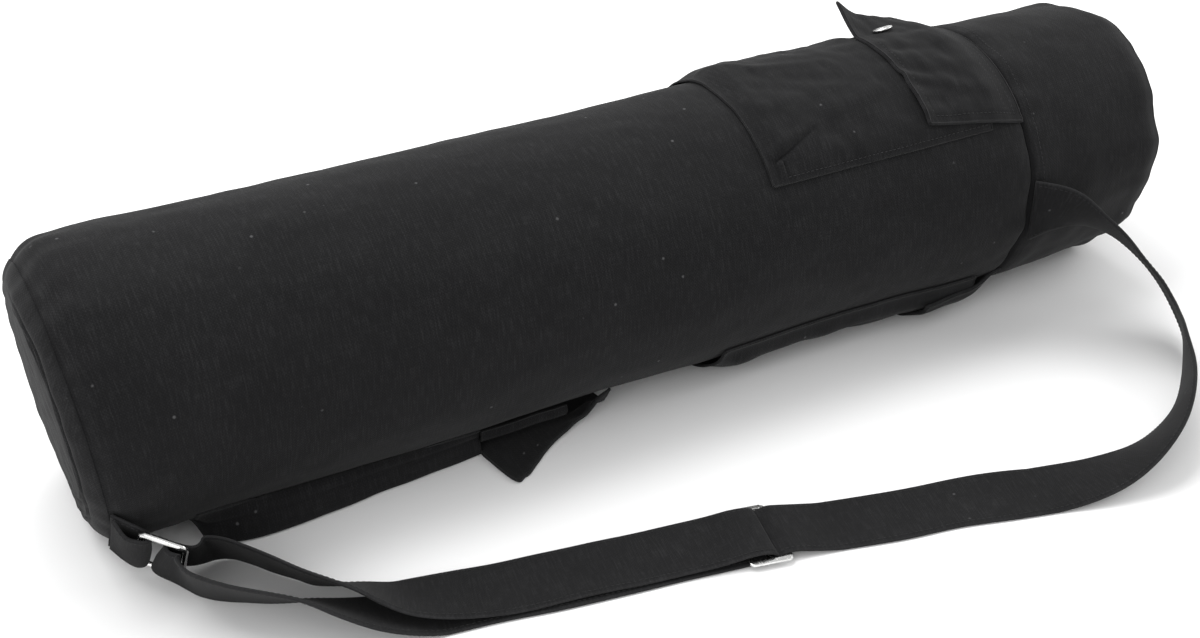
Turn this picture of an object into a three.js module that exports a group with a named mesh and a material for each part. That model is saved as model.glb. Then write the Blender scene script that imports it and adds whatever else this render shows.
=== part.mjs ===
// A yoga mat bag of black cotton canvas, lying on its side as if a rolled mat filled it.
// The pieces are a long body tube with a sewn bottom panel, a top section beyond a ring seam,
// two cargo pockets with flaps, a side pocket, and a carrying strap with metal hardware.
// X runs along the bag from its bottom to its top, Z is up, the strap lies on the -Y side.
// The origin is on the floor under the middle of the bag's seamed length.
import * as THREE from "three";
import { mergeVertices } from "three/addons/utils/BufferGeometryUtils.js";

// The bag, in millimetres
const BODY_RADIUS = 80; // outside of the filled tube
const BODY_LENGTH = 570; // bottom seam to ring seam
const TOP_LENGTH = 105; // ring seam to the seam of the top panel
const CLOTH_THICKNESS = 2; // canvas doubled at its seams
const GAP = 0.5; // clearance between neighbouring pieces
const REST_SINK = 1; // how far the round underside is pressed flat
const BOTTOM_BULGE = 4;
const TOP_BULGE = 7;
const BOTTOM_LEAN = 3.5; // degrees that the bottom seam's upper side leans outwards
const TOP_LEAN = 5; // the same at the top panel

// The two cargo pockets, which end at the ring seam
const POCKET_LENGTH = 180;
const LOWER_POCKET_LENGTH = 206;
const POCKET_MOUTH = 24; // from the open end of a pocket to the ring seam
const POCKET_PROUD = 7; // how far a pocket stands off the tube
const FLAP_DEPTH = 62;
const FLAP_LIFT = 19; // how far the upper flap's back corner curls up
const POCKET_ARC = { from: -41, to: 52 }; // degrees from the top, towards the strap side
const FLAP_ARC = { from: -37, to: 47 };
const LOWER_ARC = { from: 126, to: 216 };
const LOWER_FLAP_ARC = { from: 135, to: 216 };
const RAMP = 10; // length in which the underside steps up over a layer of cloth
const SNAP_DIAMETER = 15;
const SNAP_HEIGHT = 1.4;
const SNAP_EYE = 4.5;

// The side pocket low on the strap side, with its hem and its loose flap
const SIDE_POCKET_START = 53; // from the bottom seam
const SIDE_POCKET_LENGTH = 160;
const SIDE_FLAP_LENGTH = 82;
const HEM_HEIGHT = 12;
const HEM_LENGTH = 53;

// The strap and its hardware
const STRAP_WIDTH = 40;
const STRAP_THICKNESS = 2;
const RING_LENGTH = 36; // between the middles of the ring's short bars
const RING_WIDTH = 23;
const WIRE = 3.2;
const SLIDER_WIDTH = 24;
const SLIDER_THICKNESS = 1.6;
const SLIDER_BAR = 3;

// Places that follow from these sizes
const TOTAL_LENGTH = BODY_LENGTH + TOP_LENGTH;
const BOTTOM_X = -TOTAL_LENGTH / 2;
const SEAM_X = BOTTOM_X + BODY_LENGTH;
const AXIS_Z = BODY_RADIUS - REST_SINK;
const LAYER = CLOTH_THICKNESS + GAP;
const MOUTH_X = SEAM_X - POCKET_MOUTH;
const POCKET_X = SEAM_X - POCKET_LENGTH;
const LOWER_X = SEAM_X - LOWER_POCKET_LENGTH;
const FLAP_X = SEAM_X - FLAP_DEPTH;
const FLAP_ROOT_X = SEAM_X;
const SEGMENTS = 40; // round the tube

const radians = THREE.MathUtils.degToRad;
const mix = THREE.MathUtils.lerp;
const smooth = THREE.MathUtils.smoothstep;
const V = (x, y, z) => new THREE.Vector3(x, y, z);

const canvas = new THREE.MeshStandardMaterial({ color: 0x1c1c1d, roughness: 0.93, metalness: 0 });
const nickel = new THREE.MeshStandardMaterial({ color: 0xd6d8da, roughness: 0.2, metalness: 1 });

const bag = new THREE.Group();

function piece(name, geometry, material, parent = bag) {
  const mesh = new THREE.Mesh(geometry, material);
  mesh.name = name;
  parent.add(mesh);
  return mesh;
}

// A solid from points and from faces given as index loops
function solid(points, faces) {
  const index = [];
  for (const f of faces) for (let k = 1; k + 1 < f.length; k += 1) index.push(f[0], f[k], f[k + 1]);
  const geometry = new THREE.BufferGeometry().setFromPoints(points).setIndex(index);
  return mergeVertices(geometry, 1e-4);
}

// A wall between an outer and an inner surface, each a function of a row and a column number.
// A closed wall runs right round, so its last column meets its first.
function wall(rows, columns, outer, inner, closed = false) {
  const points = [];
  const across = closed ? columns : columns + 1;
  for (const face of [outer, inner])
    for (let i = 0; i <= rows; i += 1) for (let j = 0; j < across; j += 1) points.push(face(i, j));
  const at = (side, i, j) => side * (rows + 1) * across + i * across + (j % across);
  const faces = [];
  for (let i = 0; i < rows; i += 1)
    for (let j = 0; j < columns; j += 1) {
      faces.push([at(0, i, j), at(0, i + 1, j), at(0, i + 1, j + 1), at(0, i, j + 1)]);
      faces.push([at(1, i, j), at(1, i, j + 1), at(1, i + 1, j + 1), at(1, i + 1, j)]);
    }
  for (let j = 0; j < columns; j += 1) {
    faces.push([at(0, 0, j), at(0, 0, j + 1), at(1, 0, j + 1), at(1, 0, j)]);
    faces.push([at(0, rows, j), at(1, rows, j), at(1, rows, j + 1), at(0, rows, j + 1)]);
  }
  if (!closed)
    for (let i = 0; i < rows; i += 1) {
      faces.push([at(0, i, 0), at(1, i, 0), at(1, i + 1, 0), at(0, i + 1, 0)]);
      faces.push([at(0, i, columns), at(0, i + 1, columns), at(1, i + 1, columns), at(1, i, columns)]);
    }
  return solid(points, faces);
}

// Value of a table's column at a place along it, straight between its rows
function column(table, name, along) {
  let k = 1;
  while (k < table.length - 1 && table[k].along < along) k += 1;
  const [a, b] = [table[k - 1], table[k]];
  const t = Math.min(Math.max((along - a.along) / (b.along - a.along), 0), 1);
  return mix(a[name], b[name], t);
}

// A point round the tube: the angle is measured from the top towards the strap side
function round(x, angle, radius, floor = 0, drop = 0) {
  const a = radians(angle);
  return V(x, -radius * Math.sin(a), Math.max(AXIS_Z - drop + radius * Math.cos(a), floor));
}

// How high the tube's underside lies, on the cloth of the lower pocket and its flap
const bodyFloor = (x) =>
  LAYER * (smooth(x, LOWER_X - RAMP, LOWER_X) + smooth(x, FLAP_X - RAMP, FLAP_X));
const lowerPocketFloor = (x) => LAYER * smooth(x, FLAP_X - RAMP, FLAP_X);
const topFloor = (x) => 2 * LAYER * (1 - smooth(x, SEAM_X, SEAM_X + 3 * RAMP));

// Outline of the tube along its length: shares of the length, the radius and the radius again
const BODY_OUTLINE = [
  { along: 0, radius: 0.945, drop: 0.02 },
  { along: 0.012, radius: 0.972, drop: 0.012 },
  { along: 0.035, radius: 0.993, drop: 0.004 },
  { along: 0.08, radius: 1, drop: 0 },
  { along: 1, radius: 1, drop: 0 },
];
const TOP_OUTLINE = [
  { along: 0, radius: 1, drop: 0 },
  { along: 0.12, radius: 0.988, drop: 0 },
  { along: 0.45, radius: 0.985, drop: 0 },
  { along: 0.8, radius: 0.975, drop: 0.005 },
  { along: 0.93, radius: 0.96, drop: 0.012 },
  { along: 1, radius: 0.93, drop: 0.02 },
];

// How much a section near an end leans, as a shift along X for each millimetre of height
function leanAt(x) {
  const bottom = -Math.tan(radians(BOTTOM_LEAN)) * (1 - smooth(x, BOTTOM_X, BOTTOM_X + BODY_RADIUS));
  const top = Math.tan(radians(TOP_LEAN)) * smooth(x, SEAM_X, SEAM_X + TOP_LENGTH);
  return bottom + top;
}

function tube(places, outline, start, length, floor) {
  const surface = (inset) => (i, j) => {
    const x = places[i];
    const along = (x - start) / length;
    const radius = BODY_RADIUS * column(outline, "radius", along) - inset;
    const drop = BODY_RADIUS * column(outline, "drop", along);
    const p = round(x, (-360 * j) / SEGMENTS, radius, floor(x) + inset, drop);
    p.x += leanAt(x) * (p.z - AXIS_Z);
    return p;
  };
  return wall(places.length - 1, SEGMENTS, surface(0), surface(CLOTH_THICKNESS), true);
}

const bodyPlaces = [
  ...BODY_OUTLINE.slice(0, -1).map((row) => BOTTOM_X + row.along * BODY_LENGTH),
  BOTTOM_X + 0.11 * BODY_LENGTH,
  BOTTOM_X + 0.35 * BODY_LENGTH,
  LOWER_X - RAMP,
  LOWER_X - RAMP / 2,
  LOWER_X,
  (LOWER_X + FLAP_X) / 2,
  FLAP_X - RAMP,
  FLAP_X - RAMP / 2,
  FLAP_X,
  (FLAP_X + SEAM_X) / 2,
  SEAM_X,
];
piece("body_tube", tube(bodyPlaces, BODY_OUTLINE, BOTTOM_X, BODY_LENGTH, bodyFloor), canvas);

const TOP_START = SEAM_X + GAP;
const topPlaces = TOP_OUTLINE.map((row) => TOP_START + row.along * (TOP_LENGTH - GAP));
topPlaces.splice(2, 0, SEAM_X + 3 * RAMP);
piece("top_section", tube(topPlaces, TOP_OUTLINE, TOP_START, TOP_LENGTH - GAP, topFloor), canvas);

// A round end panel, domed outwards, that covers the end of the tube. Outwards is -1 or 1 along X.
function endPanel(outwards, seamX, row, bulge) {
  const RINGS = [0, 0.3, 0.55, 0.78, 0.93, 1]; // shares of the panel's radius
  const radius = BODY_RADIUS * row.radius;
  const drop = BODY_RADIUS * row.drop;
  const points = [];
  const lean = leanAt(seamX);
  for (const thick of [1, 0])
    for (const share of RINGS)
      for (let j = 0; j < (share ? SEGMENTS : 1); j += 1) {
        const p = round(seamX, (360 * j) / SEGMENTS, radius * share, 0, drop);
        const out = GAP + thick * CLOTH_THICKNESS + bulge * (1 - share * share);
        points.push(V(p.x + outwards * out + lean * (p.z - AXIS_Z), p.y, p.z));
      }
  const half = points.length / 2;
  const at = (side, ring, j) => side * half + (ring ? 1 + (ring - 1) * SEGMENTS + (j % SEGMENTS) : 0);
  const faces = [];
  const add = (...f) => faces.push(outwards < 0 ? f : f.reverse());
  for (let j = 0; j < SEGMENTS; j += 1) {
    add(at(0, 0, 0), at(0, 1, j + 1), at(0, 1, j));
    add(at(1, 0, 0), at(1, 1, j), at(1, 1, j + 1));
    for (let ring = 1; ring + 1 < RINGS.length; ring += 1) {
      add(at(0, ring, j), at(0, ring, j + 1), at(0, ring + 1, j + 1), at(0, ring + 1, j));
      add(at(1, ring, j), at(1, ring + 1, j), at(1, ring + 1, j + 1), at(1, ring, j + 1));
    }
    const rim = RINGS.length - 1;
    add(at(0, rim, j), at(0, rim, j + 1), at(1, rim, j + 1), at(1, rim, j));
  }
  return solid(points, faces);
}

piece("bottom_panel", endPanel(-1, BOTTOM_X, BODY_OUTLINE[0], BOTTOM_BULGE), canvas);
const topRow = TOP_OUTLINE[TOP_OUTLINE.length - 1];
piece("top_panel", endPanel(1, BOTTOM_X + TOTAL_LENGTH, topRow, TOP_BULGE), canvas);

// A pocket is sewn down on three sides and stands proud between them: shares of its length from
// its closed end, and of its arc, with the share of the full height that the cloth has there.
const PUFF_ALONG = [
  { along: 0, share: 0 },
  { along: 0.05, share: 0.75 },
  { along: 0.14, share: 1 },
  { along: 0.55, share: 0.9 },
  { along: 1, share: 0.95 },
];
const PUFF_ROUND = [
  { along: 0, share: 0 },
  { along: 0.08, share: 0.7 },
  { along: 0.18, share: 1 },
  { along: 0.82, share: 1 },
  { along: 0.92, share: 0.6 },
  { along: 1, share: 0 },
];
const within = (arc, angle) => (angle - arc.from) / (arc.to - arc.from);

function puff(startX, arc, x, angle) {
  const along = column(PUFF_ALONG, "share", (x - startX) / (MOUTH_X - startX));
  return POCKET_PROUD * along * column(PUFF_ROUND, "share", within(arc, angle));
}

// A cloth sheet over the tube between two angles, through the given places along X.
// Off is how far its inner side lies from the tube, and floor is the height it rests on.
// The underside's sheets step with the tube's own segments, so that they lie flat together.
const lowerSteps = (arc) => Math.round(((arc.to - arc.from) * SEGMENTS) / 360);
function curvedSheet(places, arc, steps, off, floor) {
  const surface = (thick) => (i, j) => {
    const angle = mix(arc.to, arc.from, j / steps);
    const x = places[i];
    return round(x, angle, BODY_RADIUS + off(x, angle) + thick * CLOTH_THICKNESS, floor(x) + (1 - thick) * CLOTH_THICKNESS);
  };
  return wall(places.length - 1, steps, surface(1), surface(0));
}

const pocketPlaces = (start) => PUFF_ALONG.map((row) => mix(start, MOUTH_X, row.along));
const noFloor = () => 0;

piece(
  "upper_pocket",
  curvedSheet(pocketPlaces(POCKET_X), POCKET_ARC, 16, (x, a) => GAP + puff(POCKET_X, POCKET_ARC, x, a), noFloor),
  canvas,
);
const lowerPlaces = [...pocketPlaces(LOWER_X), FLAP_X - RAMP, FLAP_X - RAMP / 2, FLAP_X];
piece(
  "lower_pocket",
  curvedSheet(
    lowerPlaces.sort((a, b) => a - b),
    LOWER_ARC,
    lowerSteps(LOWER_ARC),
    (x, a) => GAP + puff(LOWER_X, LOWER_ARC, x, a),
    lowerPocketFloor,
  ),
  canvas,
);

// A flap is sewn into the ring seam, rises over the pocket's mouth and lies on the pocket
const flapPlaces = [FLAP_X, mix(FLAP_X, MOUTH_X, 0.5), MOUTH_X, mix(MOUTH_X, FLAP_ROOT_X, 0.5), FLAP_ROOT_X];
function flapOff(startX, arc, x, angle) {
  const rise = 1 - smooth(x, MOUTH_X, FLAP_ROOT_X);
  return GAP + rise * (puff(startX, arc, Math.min(x, MOUTH_X), angle) + LAYER);
}
function upperFlapOff(x, angle) {
  const back = 1 - smooth(angle, FLAP_ARC.from, 0.3 * FLAP_ARC.to);
  const free = (FLAP_ROOT_X - x) / FLAP_DEPTH;
  return flapOff(POCKET_X, POCKET_ARC, x, angle) + FLAP_LIFT * back * free ** 1.5;
}
piece("upper_flap", curvedSheet(flapPlaces, FLAP_ARC, 14, upperFlapOff, noFloor), canvas);
piece(
  "lower_flap",
  curvedSheet(flapPlaces, LOWER_FLAP_ARC, lowerSteps(LOWER_FLAP_ARC), (x, a) => flapOff(LOWER_X, LOWER_ARC, x, a), noFloor),
  canvas,
);

// The snap's cap on the upper flap: a ring with a sunk eye, lying on the cloth where it is fixed
const SNAP_PLACE = { free: 0.5, angle: -26 }; // share of the flap's depth from the seam
const snapX = mix(FLAP_ROOT_X, FLAP_X, SNAP_PLACE.free);
const flapTop = (x, angle) => round(x, angle, BODY_RADIUS + upperFlapOff(x, angle) + CLOTH_THICKNESS);
const snapStep = SNAP_DIAMETER / 3;
const snapTurn = 4; // degrees each way for the flap's slope
const alongFlap = flapTop(snapX + snapStep, SNAP_PLACE.angle).sub(flapTop(snapX - snapStep, SNAP_PLACE.angle));
const acrossFlap = flapTop(snapX, SNAP_PLACE.angle + snapTurn).sub(flapTop(snapX, SNAP_PLACE.angle - snapTurn));
const snapNormal = acrossFlap.clone().cross(alongFlap).normalize();
const snapR = SNAP_DIAMETER / 2;
const snapProfile = [
  [0, 0],
  [snapR, 0],
  [snapR * 0.92, SNAP_HEIGHT * 0.6],
  [snapR * 0.66, SNAP_HEIGHT],
  [SNAP_EYE * 0.63, SNAP_HEIGHT * 0.8],
  [SNAP_EYE / 2, SNAP_HEIGHT * 0.3],
  [0, SNAP_HEIGHT * 0.3],
].map(([r, h]) => new THREE.Vector2(r, h));
const snapGeometry = new THREE.LatheGeometry(snapProfile, 20);
snapGeometry.deleteAttribute("uv");
snapGeometry.deleteAttribute("normal");
const snap = piece("snap_cap", mergeVertices(snapGeometry, 1e-4), nickel);
snap.position.copy(flapTop(snapX, SNAP_PLACE.angle)).addScaledVector(snapNormal, GAP);
snap.quaternion.setFromUnitVectors(V(0, 1, 0), snapNormal);

// The side pocket hangs from the tube's lower side to the floor and runs back under it.
// Its section is in shares of the tube's radius, and its rows along say how far it is spread.
const SIDE_ANGLE = 136;
const SIDE_SECTION = [
  { out: 0.755, up: 0.17 },
  { out: 0.785, up: 0.075 },
  { out: 0.77, up: 0 },
  { out: 0.62, up: 0 },
  { out: 0.36, up: 0 },
];
const SIDE_SPREAD = [
  { along: 0, spread: 0.25, angle: 9 },
  { along: 0.1, spread: 1, angle: 3 },
  { along: 0.3, spread: 0.99, angle: -2 },
  { along: 0.6, spread: 0.93, angle: 2 },
  { along: 1, spread: 0.86, angle: -1 },
];
const sideX = BOTTOM_X + SIDE_POCKET_START;
function sideSurface(thick) {
  return (i, column) => {
    const j = SIDE_SECTION.length - column;
    const row = SIDE_SPREAD[i];
    const x = sideX + row.along * SIDE_POCKET_LENGTH;
    const out = GAP + thick * CLOTH_THICKNESS;
    if (j === 0) return round(x, SIDE_ANGLE + row.angle, BODY_RADIUS + GAP + thick * CLOTH_THICKNESS);
    const s = SIDE_SECTION[j - 1];
    const last = SIDE_SECTION[SIDE_SECTION.length - 1].out;
    const y = BODY_RADIUS * mix(last, s.out, row.spread) - (s.up > 0 ? CLOTH_THICKNESS - out + GAP : 0);
    const top = s.up > 0 ? BODY_RADIUS * s.up * mix(0.1, 1, row.spread) : (1 - thick) * CLOTH_THICKNESS;
    const inset = s.up === 0 && s.out > 0.7 ? (1 - thick) * CLOTH_THICKNESS : 0;
    return V(x, -(y - inset), top);
  };
}
piece("side_pocket", wall(SIDE_SPREAD.length - 1, SIDE_SECTION.length, sideSurface(1), sideSurface(0)), canvas);

// The hem that runs on past the side pocket's mouth, hanging straight from the tube
const mouthX = sideX + SIDE_POCKET_LENGTH + GAP;
const hemTop = round(mouthX, SIDE_ANGLE, BODY_RADIUS + GAP);
function hemSurface(thick) {
  return (i, j) => V(mouthX + i * HEM_LENGTH, hemTop.y - thick * CLOTH_THICKNESS, hemTop.z - (1 - j) * HEM_HEIGHT);
}
piece("side_hem", wall(1, 1, hemSurface(1), hemSurface(0)), canvas);

// The side pocket's flap lies loose on the floor: rows of its front edge, in shares of its
// length and of the tube's radius, with the height to which its outer end is rucked up
const SIDE_FLAP = [
  { along: 0, out: 0.69, up: 0 },
  { along: 0.06, out: 1.04, up: 0 },
  { along: 0.18, out: 1.075, up: 0 },
  { along: 0.5, out: 0.82, up: 0.01 },
  { along: 0.8, out: 0.66, up: 0.06 },
  { along: 1, out: 0.68, up: 0.2 },
];
const SIDE_FLAP_BACK = 0.3; // share of the radius where its hidden edge lies
const CURL = [1, 0.35, 0.1, 0]; // shares of that height from the front edge to the back one
function sideFlapSurface(thick) {
  return (i, j) => {
    const row = SIDE_FLAP[i];
    const y = BODY_RADIUS * mix(row.out, SIDE_FLAP_BACK, j / 3);
    return V(mouthX + row.along * SIDE_FLAP_LENGTH, -y, thick * CLOTH_THICKNESS + BODY_RADIUS * row.up * CURL[j]);
  };
}
piece("side_flap", wall(SIDE_FLAP.length - 1, 3, sideFlapSurface(1), sideFlapSurface(0)), canvas);

// A strap runs through stations, each with a centre, the direction of its width and the width.
// It never sinks into the floor: a section that would is raised onto it.
function ribbon(stations, samples) {
  const centres = new THREE.CatmullRomCurve3(stations.map((s) => s.centre));
  const sides = new THREE.CatmullRomCurve3(stations.map((s) => s.side));
  const widths = new THREE.CatmullRomCurve3(stations.map((s, k) => V(k, s.width, 0)));
  const sections = [];
  for (let k = 0; k <= samples; k += 1) {
    const t = k / samples;
    const side = sides.getPoint(t).normalize();
    const up = side.clone().cross(centres.getTangent(t)).normalize();
    side.multiplyScalar(widths.getPoint(t).y / 2);
    up.multiplyScalar(STRAP_THICKNESS / 2);
    const centre = centres.getPoint(t);
    centre.z = Math.max(centre.z, Math.abs(side.z) + Math.abs(up.z));
    sections.push({ centre, side, up });
  }
  const face = (up) => (i, j) => {
    const f = sections[i];
    return f.centre.clone().addScaledVector(f.side, 1 - 2 * j).addScaledVector(f.up, up);
  };
  return wall(samples, 1, face(1), face(-1));
}

// A strap's route along the floor, from a table: along is a share of the seamed length, out of
// the tube's diameter, roll the degrees by which the strap's right edge is raised, lift a share
// of the radius above lying on the floor, and layer how many straps it lies on.
function route(table) {
  const centres = table.map((row) => {
    const roll = radians(row.roll);
    const lying = (STRAP_WIDTH * Math.abs(Math.sin(roll)) + STRAP_THICKNESS * Math.abs(Math.cos(roll))) / 2;
    const z = lying + BODY_RADIUS * row.lift + (STRAP_THICKNESS + GAP) * row.layer;
    return V(BOTTOM_X + row.along * TOTAL_LENGTH, -2 * BODY_RADIUS * row.out, z);
  });
  return table.map((row, k) => {
    const ahead = centres[Math.min(k + 1, centres.length - 1)].clone().sub(centres[Math.max(k - 1, 0)]);
    const right = V(ahead.y, -ahead.x, 0).normalize();
    const up = right.clone().cross(ahead).normalize();
    const roll = radians(row.roll);
    const side = right.multiplyScalar(Math.cos(roll)).addScaledVector(up, Math.sin(roll));
    return { centre: centres[k], side, width: STRAP_WIDTH };
  });
}

// The slider lies where the strap doubles, between its two layers
const SLIDER = { along: 0.456, out: 1.184, turn: -12 };
const sliderAt = V(BOTTOM_X + SLIDER.along * TOTAL_LENGTH, -2 * BODY_RADIUS * SLIDER.out, 0);
const sliderAhead = V(Math.cos(radians(SLIDER.turn)), Math.sin(radians(SLIDER.turn)), 0);
const sliderRight = V(sliderAhead.y, -sliderAhead.x, 0);
const atSlider = (along, z) => ({
  centre: sliderAt.clone().addScaledVector(sliderAhead, along).setZ(z),
  side: sliderRight,
  width: STRAP_WIDTH,
});

// The ring leans beside the bag's lower front. Its own frame: X across it from the tab to the
// strap, Y up along its long bars, Z the way that it faces, away from the bag.
const RING = { along: 0.0381, out: 0.4925, up: 0.261 }; // up is a share of the radius
const ringAt = V(BOTTOM_X + RING.along * TOTAL_LENGTH, -2 * BODY_RADIUS * RING.out, BODY_RADIUS * RING.up);
const ringY = V(0, -0.53, 0.848).normalize();
const ringZ = V(0.77, -0.54, -0.337).cross(ringY).normalize();
const ringX = ringY.clone().cross(ringZ);
const inRing = (x, behind) => ringAt.clone().addScaledVector(ringX, x).addScaledVector(ringZ, -behind);

// Points round a rectangle with rounded corners, each with the direction that faces outwards
function roundedLoop(width, height, corner, turns) {
  const points = [];
  for (let k = 0; k < 4; k += 1) {
    const [sx, sy] = [k === 0 || k === 3 ? 1 : -1, k < 2 ? 1 : -1];
    for (let t = 0; t <= turns; t += 1) {
      const a = (Math.PI / 2) * (k + t / turns);
      const out = V(Math.cos(a), Math.sin(a), 0);
      const centre = V(sx * (width / 2 - corner), sy * (height / 2 - corner), 0);
      points.push({ at: centre.addScaledVector(out, corner), out });
    }
  }
  return points;
}

function wireLoop(width, height, corner, sides) {
  const loop = roundedLoop(width, height, corner, 3);
  const points = [];
  for (const { at, out } of loop)
    for (let j = 0; j < sides; j += 1) {
      const a = (2 * Math.PI * j) / sides;
      points.push(at.clone().addScaledVector(out, (WIRE / 2) * Math.cos(a)).setZ((WIRE / 2) * Math.sin(a)));
    }
  const faces = [];
  for (let i = 0; i < loop.length; i += 1)
    for (let j = 0; j < sides; j += 1) {
      const [a, b, next] = [i * sides, ((i + 1) % loop.length) * sides, (j + 1) % sides];
      faces.push([a + j, b + j, b + next, a + next]);
    }
  return solid(points, faces);
}
const ring = new THREE.Group();
ring.position.copy(ringAt);
ring.quaternion.setFromRotationMatrix(new THREE.Matrix4().makeBasis(ringX, ringY, ringZ));
bag.add(ring);
piece("strap_ring", wireLoop(RING_WIDTH, RING_LENGTH, WIRE, 12), nickel, ring);

// The webbing that the ring holds is gathered to fit between its short bars
const gathered = Math.min(STRAP_WIDTH, RING_LENGTH - WIRE - 4 * GAP);
const held = (x, behind) => ({ centre: inRing(x, behind), side: ringY, width: gathered });
const roundWire = WIRE / 2 + GAP + STRAP_THICKNESS / 2; // from the wire's middle to a strap's
const tabBar = -RING_WIDTH / 2;
const strapBar = RING_WIDTH / 2;

// The tab: a loop of the same webbing from the bottom seam round the ring's inner long bar
const TAB_ANGLE = 122.5;
const TAB_SHARE = 0.004; // of the tube's length, from the bottom seam
function tabEnd(out) {
  const radius = BODY_RADIUS * column(BODY_OUTLINE, "radius", TAB_SHARE) + out;
  const drop = BODY_RADIUS * column(BODY_OUTLINE, "drop", TAB_SHARE);
  const centre = round(BOTTOM_X + TAB_SHARE * BODY_LENGTH, TAB_ANGLE, radius, 0, drop);
  centre.x += leanAt(BOTTOM_X) * (centre.z - AXIS_Z);
  return { centre, side: V(0, Math.cos(radians(TAB_ANGLE)), Math.sin(radians(TAB_ANGLE))), width: STRAP_WIDTH };
}
const tabStations = [
  tabEnd(3 * GAP + 1.5 * STRAP_THICKNESS),
  held(tabBar - 2 * WIRE, -roundWire - GAP),
  held(tabBar, -roundWire),
  held(tabBar + 0.75 * roundWire, -0.75 * roundWire),
  held(tabBar + 1.05 * roundWire, 0),
  held(tabBar + 0.75 * roundWire, 0.75 * roundWire),
  held(tabBar, roundWire),
  tabEnd(2 * GAP + STRAP_THICKNESS / 2),
];
piece("strap_tab", ribbon(tabStations, 28), canvas);

// The strap: from its end, turned down round the slider's middle bar, back on top of itself to
// the ring, round the outer long bar, under the slider and round to the ring seam
const FAR_ROUTE = [
  { along: 0.3926, out: 1.127, roll: 0, lift: 0, layer: 1 },
  { along: 0.3185, out: 1.072, roll: 0, lift: 0, layer: 1 },
  { along: 0.2593, out: 1.031, roll: 0, lift: 0, layer: 1 },
  { along: 0.2148, out: 0.9875, roll: 5, lift: 0, layer: 1 },
  { along: 0.1853, out: 0.9475, roll: 15, lift: 0, layer: 0.6 },
  { along: 0.1732, out: 0.9188, roll: 26, lift: 0, layer: 0.2 },
  { along: 0.1587, out: 0.8694, roll: 34, lift: 0, layer: 0 },
  { along: 0.1302, out: 0.7669, roll: 36, lift: 0, layer: 0 },
  { along: 0.1041, out: 0.605, roll: 35, lift: 0.01, layer: 0 },
  { along: 0.0739, out: 0.5163, roll: 26, lift: 0.11, layer: 0 },
];
const NEAR_ROUTE = [
  { along: 0.0507, out: 0.6063, roll: 30, lift: 0, layer: 0 },
  { along: 0.0719, out: 0.7088, roll: 31, lift: 0.01, layer: 0 },
  { along: 0.1039, out: 0.8206, roll: 36, lift: 0, layer: 0 },
  { along: 0.1182, out: 0.8625, roll: 34, lift: 0, layer: 0 },
  { along: 0.1403, out: 0.9256, roll: 30, lift: 0, layer: 0 },
  { along: 0.1633, out: 0.97, roll: 14, lift: 0, layer: 0 },
  { along: 0.2059, out: 1.003, roll: 0, lift: 0, layer: 0 },
  { along: 0.2593, out: 1.044, roll: 0, lift: 0, layer: 0 },
  { along: 0.3185, out: 1.088, roll: 0, lift: 0, layer: 0 },
  { along: 0.3926, out: 1.137, roll: 0, lift: 0, layer: 0 },
];
const LONG_ROUTE = [
  { along: 0.5156, out: 1.244, roll: 0, lift: 0, layer: 0 },
  { along: 0.5674, out: 1.3, roll: 0, lift: 0, layer: 0 },
  { along: 0.6267, out: 1.35, roll: 0, lift: 0, layer: 0 },
  { along: 0.6919, out: 1.429, roll: 0, lift: 0, layer: 0 },
  { along: 0.7532, out: 1.482, roll: 15, lift: 0, layer: 0 },
  { along: 0.8033, out: 1.463, roll: 46, lift: 0, layer: 0 },
  { along: 0.8556, out: 1.339, roll: 76, lift: 0, layer: 0 },
  { along: 0.8972, out: 1.166, roll: 96, lift: 0.01, layer: 0 },
  { along: 0.9347, out: 0.971, roll: 117, lift: 0.05, layer: 0 },
  { along: 0.9256, out: 0.7825, roll: 147, lift: 0.48, layer: 0 },
  { along: 0.8936, out: 0.65, roll: 141, lift: 0.73, layer: 0 },
  { along: 0.8712, out: 0.572, roll: 112, lift: 0.73, layer: 0 },
];
// A route is read towards the ring seam, so the part that runs the other way is turned round
const farStations = route([...FAR_ROUTE].reverse()).reverse();
const half = STRAP_THICKNESS / 2;
const sliderZ = STRAP_THICKNESS + GAP + SLIDER_THICKNESS / 2;
const overSlider = sliderZ + SLIDER_THICKNESS / 2 + GAP + half;
const strapStations = [
  atSlider(SLIDER_BAR / 2 + GAP + 2 * half, sliderZ),
  atSlider(SLIDER_BAR / 2 + GAP + 1.6 * half, overSlider - 0.8 * half),
  atSlider(SLIDER_BAR / 2, overSlider),
  atSlider(-SLIDER_WIDTH / 2 + WIRE, overSlider),
  atSlider(-SLIDER_WIDTH / 2 - 2 * WIRE, mix(overSlider, 3 * half + GAP, 0.4)),
  ...farStations,
  held(strapBar + WIRE / 2, roundWire + half),
  held(strapBar - 3 * WIRE, 0.9 * roundWire),
  held(strapBar - 3 * WIRE, -0.6 * roundWire),
  held(strapBar - WIRE, -roundWire - WIRE),
  ...route(NEAR_ROUTE),
  atSlider(0, half),
  ...route(LONG_ROUTE),
  {
    centre: V(SEAM_X + GAP, -(BODY_RADIUS + GAP + half), AXIS_Z - 0.025 * BODY_RADIUS),
    side: V(0, 0, 1),
    width: STRAP_WIDTH,
  },
];
piece("strap", ribbon(strapStations, 4 * (strapStations.length - 1)), canvas);

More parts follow.
